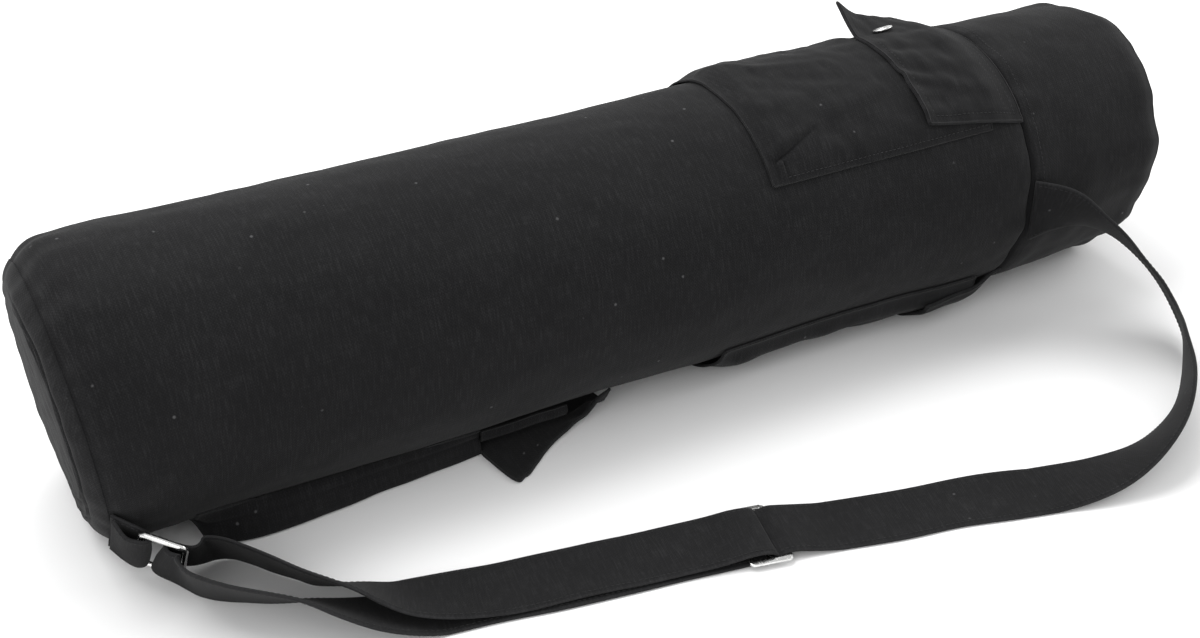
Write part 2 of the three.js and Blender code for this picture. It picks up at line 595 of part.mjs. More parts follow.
// The slider: a flat frame with a middle bar
const sliderLength = STRAP_WIDTH + 2 * SLIDER_BAR + 2 * GAP;
const outline = (...size) => roundedLoop(...size).map((p) => new THREE.Vector2(p.at.x, p.at.y));
const sliderShape = new THREE.Shape(outline(SLIDER_WIDTH, sliderLength, SLIDER_BAR, 3));
const slotWidth = (SLIDER_WIDTH - 3 * SLIDER_BAR) / 2;
for (const way of [-1, 1]) {
  const slot = outline(slotWidth, sliderLength - 2 * SLIDER_BAR, SLIDER_BAR / 3, 1);
  const shift = new THREE.Vector2((way * (slotWidth + SLIDER_BAR)) / 2, 0);
  sliderShape.holes.push(new THREE.Path(slot.map((p) => p.add(shift)).reverse()));
}
const sliderPlate = new THREE.ExtrudeGeometry(sliderShape, { depth: SLIDER_THICKNESS, bevelEnabled: false });
sliderPlate.deleteAttribute("uv");
sliderPlate.deleteAttribute("normal");
const slider = piece("strap_slider", mergeVertices(sliderPlate, 1e-4), nickel);
slider.position.copy(sliderAt).setZ(sliderZ - SLIDER_THICKNESS / 2);
slider.rotation.z = radians(SLIDER.turn);

export default bag;
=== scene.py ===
# %% [markdown]
# # A yoga mat bag in black canvas
# This lesson dresses a packed bag model. The real bag is sewn from black cotton canvas, and a
# rolled mat fills it out. It lies on its side, with its strap laid out beside it. Each cell makes
# one piece, or one finish, and prints what it made. Distances are in millimetres until a mesh is
# built, because that is how a bag maker works.

# %% Load the model
import math

import bpy
import numpy as np
from mathutils import Matrix, Vector


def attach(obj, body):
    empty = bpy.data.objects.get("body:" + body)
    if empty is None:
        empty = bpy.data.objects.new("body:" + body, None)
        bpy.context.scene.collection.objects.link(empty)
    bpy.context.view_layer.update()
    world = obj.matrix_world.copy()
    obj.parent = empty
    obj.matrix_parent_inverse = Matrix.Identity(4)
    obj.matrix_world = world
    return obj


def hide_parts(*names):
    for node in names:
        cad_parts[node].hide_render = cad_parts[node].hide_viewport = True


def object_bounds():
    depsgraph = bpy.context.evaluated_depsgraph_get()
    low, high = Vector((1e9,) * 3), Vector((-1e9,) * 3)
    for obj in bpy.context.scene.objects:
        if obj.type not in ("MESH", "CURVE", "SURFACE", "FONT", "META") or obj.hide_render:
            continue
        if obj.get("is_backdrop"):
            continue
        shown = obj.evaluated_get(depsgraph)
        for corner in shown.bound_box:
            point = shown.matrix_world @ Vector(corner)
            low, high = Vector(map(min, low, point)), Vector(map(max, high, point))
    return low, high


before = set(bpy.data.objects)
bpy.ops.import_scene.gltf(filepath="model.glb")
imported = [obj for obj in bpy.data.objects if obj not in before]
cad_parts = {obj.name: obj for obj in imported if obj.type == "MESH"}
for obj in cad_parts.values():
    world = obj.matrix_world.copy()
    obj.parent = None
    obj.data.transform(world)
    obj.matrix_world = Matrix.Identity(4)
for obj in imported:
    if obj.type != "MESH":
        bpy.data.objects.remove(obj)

cad_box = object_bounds()
MM = 0.001
print("solids in the model:", len(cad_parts))

# %% [markdown]
# ## The bag's sizes
# Every piece is worked out from a few sizes, just as a sewing pattern is. The bag is a tube that
# runs along X from its bottom seam to its top seam, and Z is up. Angles round the tube are
# measured from its top towards the side on which the strap lies.

# %% Sizes
RADIUS = 80.0
BODY_LENGTH = 570.0
TOP_LENGTH = 105.0
BOTTOM_X = -(BODY_LENGTH + TOP_LENGTH) / 2
SEAM_X = BOTTOM_X + BODY_LENGTH
TOP_X = SEAM_X + TOP_LENGTH
TOTAL = BODY_LENGTH + TOP_LENGTH
AXIS_Z = RADIUS - 1
LAYER = 2.5
POCKET = dict(start=SEAM_X - 177, mouth=SEAM_X - 24, low=-41, high=52)
LOWER_POCKET = dict(start=SEAM_X - 206, mouth=SEAM_X - 24, low=126, high=216)
FLAP_X = SEAM_X - 62
FLAP_LONG, FLAP_WIDE = 67.0, 112
STRAP_WIDTH = 40.0
STRAP_THICK = 2.0
print("bag", BODY_LENGTH + TOP_LENGTH, "mm long and", 2 * RADIUS, "mm across")

# %% [markdown]
# ## Cloth that isn't perfectly smooth
# Sewn cloth is never an exact cylinder. One way to roughen it is a Displace modifier with a
# texture. Here soft waves are added up in code instead, because the same function can then be
# strong near a seam and weak elsewhere. The waves run in space, so they have no edge where the
# tube's two sides meet.


# %% Soft waves
def waves(x, y, z, length, seed, many=28):
    chance = np.random.default_rng(seed)
    way = chance.normal(size=(many, 3))
    way /= np.linalg.norm(way, axis=1)[:, None]
    way *= 2 * math.pi / (length * chance.uniform(0.75, 1.5, many))[:, None]
    phase = chance.uniform(0, 2 * math.pi, many)
    total = np.zeros(np.broadcast(x, y, z).shape)
    for (a, b, c), start in zip(way, phase):
        total += np.cos(a * x + b * y + c * z + start)
    return total / math.sqrt(many / 2)


def near(value, centre, width):
    return np.exp(-(((value - centre) / width) ** 2))


def step(value, low, high):
    t = np.clip((value - low) / (high - low), 0, 1)
    return t * t * (3 - 2 * t)


def eased(t, first, leaving, last, arriving):
    # From one value to another, with the slope given at both
    start = (2 * t**3 - 3 * t**2 + 1) * first + (t**3 - 2 * t**2 + t) * leaving
    return start + (3 * t**2 - 2 * t**3) * last + (t**3 - t**2) * arriving


def curve(value, table):
    # A smooth line through the pairs of a short table
    xs = np.array([row[0] for row in table], float)
    ys = np.array([row[1] for row in table], float)
    slopes = np.gradient(ys, xs)
    k = np.clip(np.searchsorted(xs, value) - 1, 0, len(xs) - 2)
    span = xs[k + 1] - xs[k]
    t = np.clip((value - xs[k]) / span, 0, 1)
    return eased(t, ys[k], span * slopes[k], ys[k + 1], span * slopes[k + 1])


print("waves of 30 mm reach", round(float(waves(np.arange(90.0), 0, 0, 30, 1).max()), 2))

# %% [markdown]
# ## From a grid of points to a mesh
# Most pieces start as a grid of points: rows along the piece and columns across it. A skin is
# one layer of faces. A cloth has two layers and a rounded rim, so that its cut or folded edge
# has a thickness that catches the light. Each grid also keeps its flat cloth coordinates in a UV
# map, in metres, and the weave follows those.


# %% Meshes from grids
def placed(name, data):
    thing = bpy.data.objects.new(name, data)
    bpy.context.scene.collection.objects.link(thing)
    return thing


def unit(vectors):
    return vectors / np.maximum(np.linalg.norm(vectors, axis=-1, keepdims=True), 1e-9)


def build(name, points, faces, uv, painted_light=None):
    mesh = bpy.data.meshes.new(name)
    mesh.from_pydata((points * MM).tolist(), [], faces)
    mesh.update()
    mesh.shade_smooth()
    layer = mesh.uv_layers.new(name="cloth")
    corners = np.empty(len(mesh.loops), int)
    mesh.loops.foreach_get("vertex_index", corners)
    layer.data.foreach_set("uv", (uv[corners] * MM).ravel())
    # This point attribute holds painted highlight and painted shade for the cloth's colour
    painted_light_layer = mesh.attributes.new("painted_light", "FLOAT", "POINT")
    painted_light_layer.data.foreach_set("value", np.zeros(len(points)) if painted_light is None else painted_light)
    return placed(name, mesh)


print("one millimetre is", MM, "in Blender's units")

# %% [markdown]
# ## Faces between the points
# A grid's faces can be worked out from its rows and columns alone. One helper joins open rows,
# as on a pocket, and one joins closed rows, as on a strap. Blender's own grid primitive would
# need every point moved afterwards.


# %% Faces of a grid
def quads(rows, cols, first=0, flip=False):
    i, j = np.meshgrid(np.arange(rows - 1), np.arange(cols - 1), indexing="ij")
    a = (first + i * cols + j).ravel()
    face = np.stack([a, a + cols, a + cols + 1, a + 1], axis=1)
    return (face[:, ::-1] if flip else face).tolist()


def hoops(rows, cols):
    # Faces between closed rows of points, one row after another
    pairs = [(j, (j + 1) % cols) for j in range(cols)]
    firsts = range(0, (rows - 1) * cols, cols)
    return [(i + a, i + b, i + cols + b, i + cols + a) for i in firsts for a, b in pairs]


def skin(name, grid, uv, painted_light=None):
    rows, cols = grid.shape[:2]
    flat_painted_light = None if painted_light is None else painted_light.ravel()
    return build(name, grid.reshape(-1, 3), quads(rows, cols), uv.reshape(-1, 2), flat_painted_light)


print("a grid of 3 by 3 points has", len(quads(3, 3)), "faces")

# %% [markdown]
# ## Cloth with a thickness
# Canvas is a millimetre or two thick, and its edges are what the eye goes to. A Solidify
# modifier would give a square rim. Here both layers are built from the grid, and three more rows
# of points make the rim round, like a folded edge.


# %% Cloth with a round rim
def facing(grid):
    return unit(np.cross(np.gradient(grid, axis=0), np.gradient(grid, axis=1)))


def cloth(name, grid, uv, thick=2.0, painted_light=None):
    # Two layers and a round rim about the grid, which runs through the middle of the cloth
    rows, cols = grid.shape[:2]
    normal = facing(grid)
    half = np.asarray(thick)[..., None] * 0.5 * np.ones((rows, cols, 1))
    upper = (grid + normal * half).reshape(-1, 3)
    lower = (grid - normal * half).reshape(-1, 3)
    ring = [(0, j) for j in range(cols)] + [(i, cols - 1) for i in range(1, rows)]
    ring += [(rows - 1, j) for j in range(cols - 2, -1, -1)] + [(i, 0) for i in range(rows - 2, 0, -1)]
    ring = np.array(ring)
    at = ring[:, 0] * cols + ring[:, 1]
    inner = np.clip(ring, 1, [rows - 2, cols - 2])
    edge = grid[ring[:, 0], ring[:, 1]]
    out = unit(edge - grid[inner[:, 0], inner[:, 1]])
    h = half[ring[:, 0], ring[:, 1]]
    n = normal[ring[:, 0], ring[:, 1]]
    turns = (0.9, math.pi / 2, math.pi - 0.9)
    bands = [edge + out * h * math.sin(a) + n * h * math.cos(a) for a in turns]
    points = np.concatenate([upper, lower, *bands])
    size, count = rows * cols, len(ring)
    loops = [at, *[2 * size + k * count + np.arange(count) for k in range(3)], size + at]
    faces = quads(rows, cols) + quads(rows, cols, size, flip=True)
    for a, b in zip(loops, loops[1:]):
        a2, b2 = np.roll(a, -1), np.roll(b, -1)
        faces += np.stack([a, a2, b2, b], axis=1)[:, ::-1].tolist()
    flat_uv = uv.reshape(-1, 2)
    all_uv = np.concatenate([flat_uv, flat_uv, *[flat_uv[at]] * 3])
    painted_light_layer = np.zeros(size) if painted_light is None else painted_light.ravel()
    # The rim is painted lighter than the layers: a painted highlight along the edge
    all_painted_light = np.concatenate([painted_light_layer, painted_light_layer, *[painted_light_layer[at] + 0.15] * 3])
    return build(name, points, faces, all_uv, all_painted_light)


print("cloth has two layers and a rim")

# %% [markdown]
# ## Showing a piece
# Each finished piece gets its material, rides on the bag's one body, and hides the plain solids
# of the model it stands for. The same few calls come after every piece, so one function makes
# them.


# %% Show a piece
def show(piece, finish, *nodes, slot="canvas"):
    # Gives a piece its finish, puts it on its body and hides the solids it stands for
    piece.data.materials.append(finish)
    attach(piece, "root")
    if nodes:
        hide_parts(*nodes)
    size = [round(v * 1000) for v in piece.dimensions]
    print(f"{piece.name}: {len(piece.data.polygons)} faces, {size} mm")
    return piece


print("pieces can be shown")

# %% [markdown]
# ## Shader maths
# A material is a small sum of layers. Writing it as Python expressions is easier to read than
# a list of nodes, so this class wraps a socket and turns + - * and friends into Math nodes.


# %% A class for sockets
class Thread:
    tree = None

    def __init__(self, socket):
        self.socket = socket

    @classmethod
    def node(cls, kind, settings=None, **inputs):
        # Settings come first, because they decide which sockets the node has
        made = cls.tree.nodes.new(kind)
        for key, value in (settings or {}).items():
            setattr(made, key, value)
        for key, value in inputs.items():
            socket = made.inputs[int(key[1:]) if key[0] == "_" else key.replace("_", " ")]
            if isinstance(value, Thread):
                cls.tree.links.new(value.socket, socket)
            else:
                socket.default_value = value
        return made

    @classmethod
    def out(cls, output, kind, settings=None, **inputs):
        return cls(cls.node(kind, settings, **inputs).outputs[output])

    @classmethod
    def maths(cls, operation, *values):
        numbered = {f"_{k}": value for k, value in enumerate(values)}
        return cls.out(0, "ShaderNodeMath", {"operation": operation}, **numbered)

    def __add__(self, other):
        return self.maths("ADD", self, other)

    def __sub__(self, other):
        return self.maths("SUBTRACT", self, other)

    def __rsub__(self, other):
        return self.maths("SUBTRACT", other, self)

    def __mul__(self, other):
        return self.maths("MULTIPLY", self, other)

    __radd__ = __add__
    __rmul__ = __mul__

    def sine(self):
        return self.maths("SINE", self)

    def size(self):
        return self.maths("ABSOLUTE", self)

    def between(self, low, high):
        smooth = {"interpolation_type": "SMOOTHSTEP"}
        return self.out(0, "ShaderNodeMapRange", smooth, Value=self, From_Min=low, From_Max=high)


print("sockets can be added and multiplied")

# %% [markdown]
# ## Helpers for patterns
# Cloth and metal both need noise, noise that is drawn out in one direction, and a blend of two
# colours. Colours go through a Mix node, because a Math node would turn them grey.


# %% Noise, stretch and blend
def noise(place, scale, detail=2.0, roughness=0.5):
    sizes = dict(Scale=scale, Detail=detail, Roughness=roughness)
    return Thread.out("Fac", "ShaderNodeTexNoise", None, Vector=place, **sizes)


def stretched(place, along, across):
    return Thread.out(0, "ShaderNodeVectorMath", {"operation": "MULTIPLY"}, _0=place, _1=(along, across, 1))


def blended(factor, first, second):
    return Thread.out(2, "ShaderNodeMix", {"data_type": "RGBA"}, Factor=factor, _6=first, _7=second)


print("patterns can be blended")

# %% [markdown]
# ## Black canvas
# Canvas is a plain weave of fairly thick cotton: about 11 threads to the centimetre, each a
# little uneven, with slubs where a thread swells. Two sine waves at right angles give the weave,
# and stretched noise gives the slubs. Washed black cotton is not even either, and it collects lint.
# A point attribute adds painted highlight on edges and fold ridges, and painted shade in seam grooves.
# Colour, roughness and a bump share these same parts, so that a slub is lighter and higher at the
# same spot.

# %% The canvas material
CLOTH_BLACK = (0.0075, 0.0075, 0.008, 1)
CLOTH_GREY = (0.030, 0.030, 0.031, 1)
LINT = (0.10, 0.10, 0.102, 1)
THREADS = 1100.0


def principled(name, **fixed):
    material = bpy.data.materials.new(name)
    material.use_nodes = True
    Thread.tree = material.node_tree
    shader = material.node_tree.nodes["Principled BSDF"]
    for key, value in fixed.items():
        shader.inputs[key.replace("_", " ")].default_value = value
    return material, shader


def feed(shader, socket, thread):
    Thread.tree.links.new(thread.socket, shader.inputs[socket])


def raised(shader, height, strength, distance):
    # A bump, whose distance is in metres
    sizes = dict(Strength=strength, Distance=distance)
    feed(shader, "Normal", Thread.out(0, "ShaderNodeBump", None, Height=height, **sizes))


print("the cloth's tones run from", CLOTH_BLACK[0], "to", CLOTH_GREY[0])

# %% [markdown]
# ## The weave
# The parts of the pattern are laid over each other: threads first, then slubs, fuzz, cloudy
# fading, painted highlight on edges and ridges with painted shade in seam grooves, and lint. The
# pattern follows the flat coordinates of the cloth, so the threads run along each piece as it was cut.


# %% Woven cloth
def woven(name, threads=THREADS, relief=0.35, lint=1.0):
    material, shader = principled(
        name, Sheen_Weight=0.05, Sheen_Roughness=0.5, Specular_IOR_Level=0.11, Metallic=0.0
    )
    flat = Thread.out(0, "ShaderNodeUVMap", {"uv_map": "cloth"})
    parts = Thread.node("ShaderNodeSeparateXYZ", None, Vector=flat)
    along, across = Thread(parts.outputs[0]), Thread(parts.outputs[1])
    wobble = (noise(flat, 60.0) - 0.5) * 2.4
    pitch = 2 * math.pi * threads / 2
    warp = (along * pitch + wobble).sine()
    weft = (across * pitch + wobble).sine()
    weave = (warp * weft * 0.5 + 0.5) * 0.7 + (warp.size() + weft.size()) * 0.15
    long_slubs = noise(stretched(flat, 90.0, 1100.0), 1.0, 3.0, 0.62)
    cross_slubs = noise(stretched(flat, 1000.0, 95.0), 1.0, 3.0, 0.62)
    slubs = long_slubs * 0.3 + cross_slubs * 0.7
    fuzz = noise(flat, 1500.0, 3.0, 0.7)
    cloudy = noise(flat, 24.0, 4.0, 0.6)
    # A point attribute holds painted highlight and painted shade, which lighten or darken the tone below
    painted_light_layer = Thread.out("Fac", "ShaderNodeAttribute", {"attribute_name": "painted_light"})
    shade = slubs.between(0.42, 0.72) * 0.34 + weave * 0.2 + fuzz.between(0.4, 0.75) * 0.16
    shade = shade + (cloudy - 0.5) * 0.34 + painted_light_layer * (0.32 + slubs * 0.3)
    colour = blended(shade.between(0.0, 1.0), CLOTH_BLACK, CLOTH_GREY)
    specks = Thread.node("ShaderNodeTexVoronoi", {"feature": "F1"}, Vector=flat, Scale=95.0)
    spot = Thread(specks.outputs["Distance"])
    chance = Thread.out(0, "ShaderNodeSeparateColor", None, Color=Thread(specks.outputs["Color"]))
    ragged = spot + (fuzz - 0.5) * 0.09
    flecks = (1 - ragged.between(0.03, 0.11)) * chance.between(0.76, 0.88) * lint
    feed(shader, "Base Color", blended(flecks * 0.7, colour, LINT))
    feed(shader, "Roughness", 0.97 - weave * 0.08 - painted_light_layer * 0.05)
    height = weave * 0.42 + slubs * 0.55 + fuzz * 0.25 + flecks * 0.3
    raised(shader, height, relief, 0.0007)
    return material


canvas = woven("black canvas")
print("canvas with", THREADS / 100, "threads to the centimetre")

# %% [markdown]
# ## The tube's outline
# Everything sewn to the tube shares its shape. A short table for each section gives the radius
# along it: drawn in at the bottom seam, full in the middle and smaller towards the far end. Both
# ends also lean and sag a little, because the bag was set down by hand.

# %% The tube's outline
# Each pair is a share of the section's length and the radius there, as a share of RADIUS
BODY_PROFILE = [(0, 0.93), (0.004, 0.948), (0.01, 0.973), (0.018, 0.993), (0.028, 1.003)]
BODY_PROFILE += [(0.045, 1.008), (0.12, 1.012), (0.3, 1.011), (0.45, 1.005), (0.85, 1.003)]
BODY_PROFILE += [(0.984, 1.004), (1, 0.992)]
TOP_PROFILE = [(0, 0.988), (0.05, 1.013), (0.12, 1.018), (0.22, 1.008), (0.42, 1.0)]
TOP_PROFILE += [(0.6, 0.984), (0.8, 0.972), (0.93, 0.962), (1, 0.93)]
BOTTOM_LEAN = math.tan(math.radians(5))
TOP_LEAN = math.tan(math.radians(5))


def bottom_end(x):
    # 1 at the bottom seam, 0 where its effect on the tube has faded
    return 1 - step(x, BOTTOM_X - 6, BOTTOM_X + 17)


def shift_x(x, z):
    # The bottom end isn't cut quite square to the tube, and the top end leans back
    bottom = 2.4 - BOTTOM_LEAN * (z - AXIS_Z)
    top = TOP_LEAN * (z - AXIS_Z)
    return bottom * (1 - step(x, BOTTOM_X - 4, BOTTOM_X + RADIUS)) + top * step(x, SEAM_X, TOP_X)


def sag(x):
    # Both ends sag a little, and the bottom one is also pushed towards the strap's side
    down = 2.2 * bottom_end(x) + 1.6 * step(x, TOP_X - 18, TOP_X)
    return 3.4 * bottom_end(x), down


print("the bottom end is shifted by", round(float(shift_x(BOTTOM_X, AXIS_Z)), 2), "mm")

# %% [markdown]
# ## Lying on the floor
# A filled bag flattens where it lies. Points cut off at the floor would leave a sharp line, so
# their height is held up softly. Over the lower pocket and its flap, the tube is held up by
# their thickness as well.


# %% Held up by the floor
def floor_height(x):
    pocket = step(x, LOWER_POCKET["start"] - 10, LOWER_POCKET["start"])
    flap = step(x, FLAP_X - 10, FLAP_X)
    return LAYER * (pocket + flap) * (1 - step(x, SEAM_X, SEAM_X + 30))


def held_up(z, floor, softness=1.0):
    above = z - floor
    return floor + 0.5 * (above + np.sqrt(above**2 + softness**2))


print("the tube is held up by", float(floor_height(FLAP_X)), "mm of cloth at the lower flap")

# %% [markdown]
# ## Creases
# The cloth isn't stretched evenly over the roll inside. Broad dents come from the roll, drag
# lines run along the bag, and puckers gather where a seam draws the cloth in. Each is a wave,
# and a mask keeps it near its cause.


# %% Creases of the tube
def creases(x, angle):
    # Unevenness of the tube's cloth: broad dents, drag lines along it and puckers at its seams
    a = np.radians(angle)
    y, z = -RADIUS * np.sin(a), RADIUS * np.cos(a)
    uneven = 0.55 * waves(x * 0.8, y, z, 120, 3) + 0.22 * waves(x * 0.35, y, z, 34, 5)
    uneven += 0.1 * waves(x, y, z, 17, 8)
    bottom = near(x, BOTTOM_X + 5, 16)
    ring = near(x, SEAM_X, 17)
    top = near(x, TOP_X + 8, 40)
    puckers = 0.45 * bottom * waves(x * 0.25, y, z, 16, 11) + 0.6 * ring * waves(x * 0.3, y, z, 19, 12)
    puckers += top * (1.5 * waves(x * 0.12, y, z, 44, 14) + 0.6 * waves(x * 0.2, y, z, 19, 15))
    return uneven + puckers


print("the ring seam's top is moved by", round(float(creases(SEAM_X, 0)), 2), "mm")

# %% [markdown]
# ## Points on the tube
# The outline and the creases together give a point for any place along the bag and any angle
# round it. Pockets, flaps and stitches call the same function with a distance off the cloth, so
# they always follow the tube.


# %% Points on the tube
def tube_radius(x, angle):
    body = curve((x - BOTTOM_X) / BODY_LENGTH, BODY_PROFILE)
    top = curve((x - SEAM_X) / TOP_LENGTH, TOP_PROFILE)
    return RADIUS * np.where(x <= SEAM_X, body, top) + creases(x, angle)


def on_tube(x, angle, off=0.0, floor=None, radius=None):
    x = np.asarray(x, float)
    a = np.radians(angle)
    r = (tube_radius(x, angle) if radius is None else radius) + off
    aside, down = sag(x)
    y = -r * np.sin(a) - aside
    z = AXIS_Z - down + r * np.cos(a)
    z = held_up(z, floor_height(x) if floor is None else floor)
    return np.stack(np.broadcast_arrays(x + shift_x(x, z), y, z), axis=-1)


uneven = np.ptp(creases(np.linspace(-300, 200, 300), 30))
print("the tube's cloth is uneven by", round(float(uneven), 2), "mm")

# %% [markdown]
# ## The body
# The body is one sheet of canvas sewn into a tube. A plain cylinder would look like a pipe, so
# the radius changes a little everywhere: it draws in at the bottom seam and puckers at both
# seams. The last few rows turn inwards, as a seam allowance does, and with painted shade in the
# groove they make the dark seam line.

# %% The body tube
ROUND = 240


def seamed_rows(start, end, count, grooves, tuck=2.6):
    # Places along a sewn tube, closer together near its seams, with the turned-in ends' depth
    t = np.linspace(0, 1, count)
    t = t - 0.11 * np.sin(2 * math.pi * t)
    x = start + (end - start) * t
    x = np.concatenate([[start + 1.3, start + 0.2], x, [end - 0.2, end - 1.3]])
    depth = np.concatenate([[tuck, 0.4 + grooves[0]], np.zeros(count), [0.4 + grooves[1], tuck]])
    depth += grooves[0] * near(x, start, 1.5) + grooves[1] * near(x, end, 1.5)
    return x, depth


def sewn_tube(name, start, end, count, grooves):
    # The grooves say how deep the cloth is drawn in at the first and at the last seam
    x, depth = seamed_rows(start, end, count, grooves)
    angle = np.linspace(0, -360, ROUND + 1)
    rows, angles = np.meshgrid(x, angle, indexing="ij")
    side = np.clip(rows, start, end)
    grid = on_tube(rows, angles, -depth[:, None], radius=tube_radius(side, angles))
    uv = np.stack([rows, angles * math.pi / 180 * RADIUS], axis=-1)
    ends = np.minimum(np.abs(rows - start), np.abs(rows - end))
    shaded = np.where(rows < 0.5 * (start + end), grooves[0], grooves[1])
    # Painted highlight on a band beside each seam, and painted shade in the seam's groove
    painted_light = 0.16 * near(ends, 4.0, 3.0) - 0.7 * shaded * near(ends, 0, 1.6)
    grid[:, -1] = grid[:, 0]
    return skin(name, grid, uv, painted_light)


body = sewn_tube("canvas_body", BOTTOM_X, SEAM_X - 0.35, 210, (0.35, 1.0))
show(body, canvas, "body_tube")
hood = sewn_tube("canvas_top", SEAM_X + 0.35, TOP_X, 90, (1.0, 0.15))
show(hood, canvas, "top_section")

# %% [markdown]
# ## The end panels
# A round panel closes each end. The one at the bottom is nearly flat and a little too large for
# its seam, so its cloth folds over softly, parallel to the side on which the bag was set down.
# A polar grid is the plain way to make a disc, and its rim is tucked in like the tube's end.


# %% A panel
def panel(name, seam, outwards, rounding, bulge, folds):
    near_rim = 1 - 0.5 * np.linspace(0, 1, 46) ** 1.3
    shares = np.concatenate([[0.955, 0.985], near_rim, np.linspace(0.485, 0.0, 26)])
    inner = np.concatenate([[1, 1], np.zeros(72)])
    angle = np.linspace(0, 360 * outwards, ROUND + 1)
    share, angles = np.meshgrid(shares, angle, indexing="ij")
    rim = tube_radius(np.full_like(angles, seam), angles)
    aside, down = sag(seam)
    y = -share * rim * np.sin(np.radians(angles)) - aside
    z = held_up(AXIS_Z - down + share * rim * np.cos(np.radians(angles)), 0.2 + share)
    from_rim = rim * (1 - share)
    round_off = np.sin(0.5 * math.pi * np.clip(from_rim / rounding, 0, 1))
    out = 0.3 + rounding * 0.62 * round_off + bulge * (1 - share**2) + folds(y, z, from_rim)
    out = np.where(inner[:, None] > 0, -1.6 + 0 * out, out)
    x = seam + outwards * out + shift_x(seam, z)
    grid = np.stack([x, y, z], axis=-1)
    grid[:, -1] = grid[:, 0]
    uv = np.stack([y, z], axis=-1)
    # Painted highlight on a band inside the rim, and painted shade in the seam groove at the rim
    return skin(name, grid, uv, 0.2 * near(from_rim, 5, 4) - 0.35 * near(from_rim, 0, 1.2))


print("a panel's rim has", ROUND, "points")

# %% [markdown]
# ## Folds of the panels
# The bottom panel's spare cloth lies in soft folds along its rim, on the side of the strap. The
# far panel has small gathers instead. Each is a height that is added to the disc.

# %% Panel folds
# How far each fold lies from the rim, how high it stands, how wide it is and its slant
RIM_FOLDS = [
    (12.5, -0.9, 1.1, 0.02),
    (14.5, 1.1, 1.1, 0.02),
    (20.5, -0.8, 1.5, 0.04),
    (23, 0.9, 1.4, 0.05),
    (33, -0.6, 4.0, 0.08),
]


def bottom_folds(y, z, from_rim):
    inside = step(from_rim, 2, 9)
    height = 0.35 * waves(0, y, z * 0.3, 34, 22) + 0.15 * waves(0, y, z, 14, 23)
    side = step(-y, -30, 40)
    for place, rise, width, slant in RIM_FOLDS:
        height = height + side * rise * near(from_rim + slant * (z - AXIS_Z), place, width)
    return height * inside


def top_folds(y, z, from_rim):
    gathers = 0.8 * waves(0, y, z, 26, 31) + 0.4 * waves(0, y, z, 13, 32)
    return gathers * near(from_rim, 9, 11) * step(from_rim, 0, 4)


bottom = panel("canvas_bottom_panel", BOTTOM_X, -1, 11.0, 1.0, bottom_folds)
show(bottom, canvas, "bottom_panel")
far_end = panel("canvas_top_panel", TOP_X, 1, 9.0, 4.0, top_folds)
show(far_end, canvas, "top_panel")

# %% [markdown]
# ## Thread
# Black topstitching shows as a dotted line, because each stitch dips into the cloth at its ends
# and shines a little in the middle. A bump map could fake it, but small thread shapes also catch
# the light from the side. Each stitch is a slim grain of thread, and all the stitches of one
# seam are one mesh.

# %% Thread
STITCH_PITCH, STITCH_LENGTH = 3.0, 2.2
thread_finish, thread_shader = principled(
    "black thread", Roughness=0.6, Specular_IOR_Level=0.22, Sheen_Weight=0.05, Metallic=0.0
)
place = Thread.out("Object", "ShaderNodeTexCoord")
DARK_THREAD, LIT_THREAD = (0.008, 0.008, 0.0085, 1), (0.03, 0.03, 0.031, 1)
feed(thread_shader, "Base Color", blended(noise(place, 900.0), DARK_THREAD, LIT_THREAD))


print("thread is a little glossier than the cloth")

# %% [markdown]
# ## Rows of stitches
# A row of stitches follows a line on a piece, and each stitch leans on the cloth to which it is
# sewn. Copies of one stitch would be lighter, but one mesh for each seam is simpler.


# %% A row of stitches
def stitched(name, lines, thick=0.42):
    # Each line is its points and the cloth's facing at each of them
    points, faces = [], []
    turns = np.radians(np.arange(0, 360, 60))
    for line, normals in lines:
        gone = np.concatenate([[0], np.cumsum(np.linalg.norm(np.diff(line, axis=0), axis=1))])
        for middle in np.arange(STITCH_PITCH, gone[-1] - STITCH_PITCH / 2, STITCH_PITCH):
            at = [np.interp(middle, gone, line[:, k]) for k in range(3)]
            ahead = [np.interp(middle + 0.5, gone, line[:, k]) for k in range(3)]
            up = np.array([np.interp(middle, gone, normals[:, k]) for k in range(3)])
            way = unit(np.subtract(ahead, at))
            side = unit(np.cross(up, way))
            up = np.cross(way, side)
            first = len(points)
            centre = np.array(at) + up * thick * 0.18
            points.append(centre - way * STITCH_LENGTH / 2 - up * thick * 0.5)
            for share in (-0.3, 0.3):
                for turn in turns:
                    round_it = side * math.cos(turn) + up * math.sin(turn)
                    points.append(centre + way * STITCH_LENGTH * share + round_it * thick / 2)
            points.append(centre + way * STITCH_LENGTH / 2 - up * thick * 0.5)
            for k in range(6):
                n = (k + 1) % 6
                faces.append((first, first + 1 + n, first + 1 + k))
                faces.append((first + 1 + k, first + 1 + n, first + 7 + n, first + 7 + k))
                faces.append((first + 13, first + 7 + k, first + 7 + n))
    made = build(name, np.array(points), faces, np.zeros((len(points), 2)))
    return show(made, thread_finish)


def line_on(surface, first, last, count=80, nudge=(0.5, -0.5)):
    # A line between two places on a piece, with the piece's facing along it
    t = np.linspace(0, 1, count)
    a = first[0] + (last[0] - first[0]) * t
    b = first[1] + (last[1] - first[1]) * t
    here = surface(a, b)
    return here, unit(np.cross(surface(a + nudge[0], b) - here, surface(a, b + nudge[1]) - here))


print("one stitch every", STITCH_PITCH, "mm")

# %% [markdown]
# ## Seams round the tube
# The top is joined to the body by a seam that was pressed open and topstitched on the top's side.

# %% Seam stitches
seam_row = SEAM_X + 7.5
stitched("stitches_ring_seam", [line_on(on_tube, (seam_row, -360), (seam_row, 0), 400)])

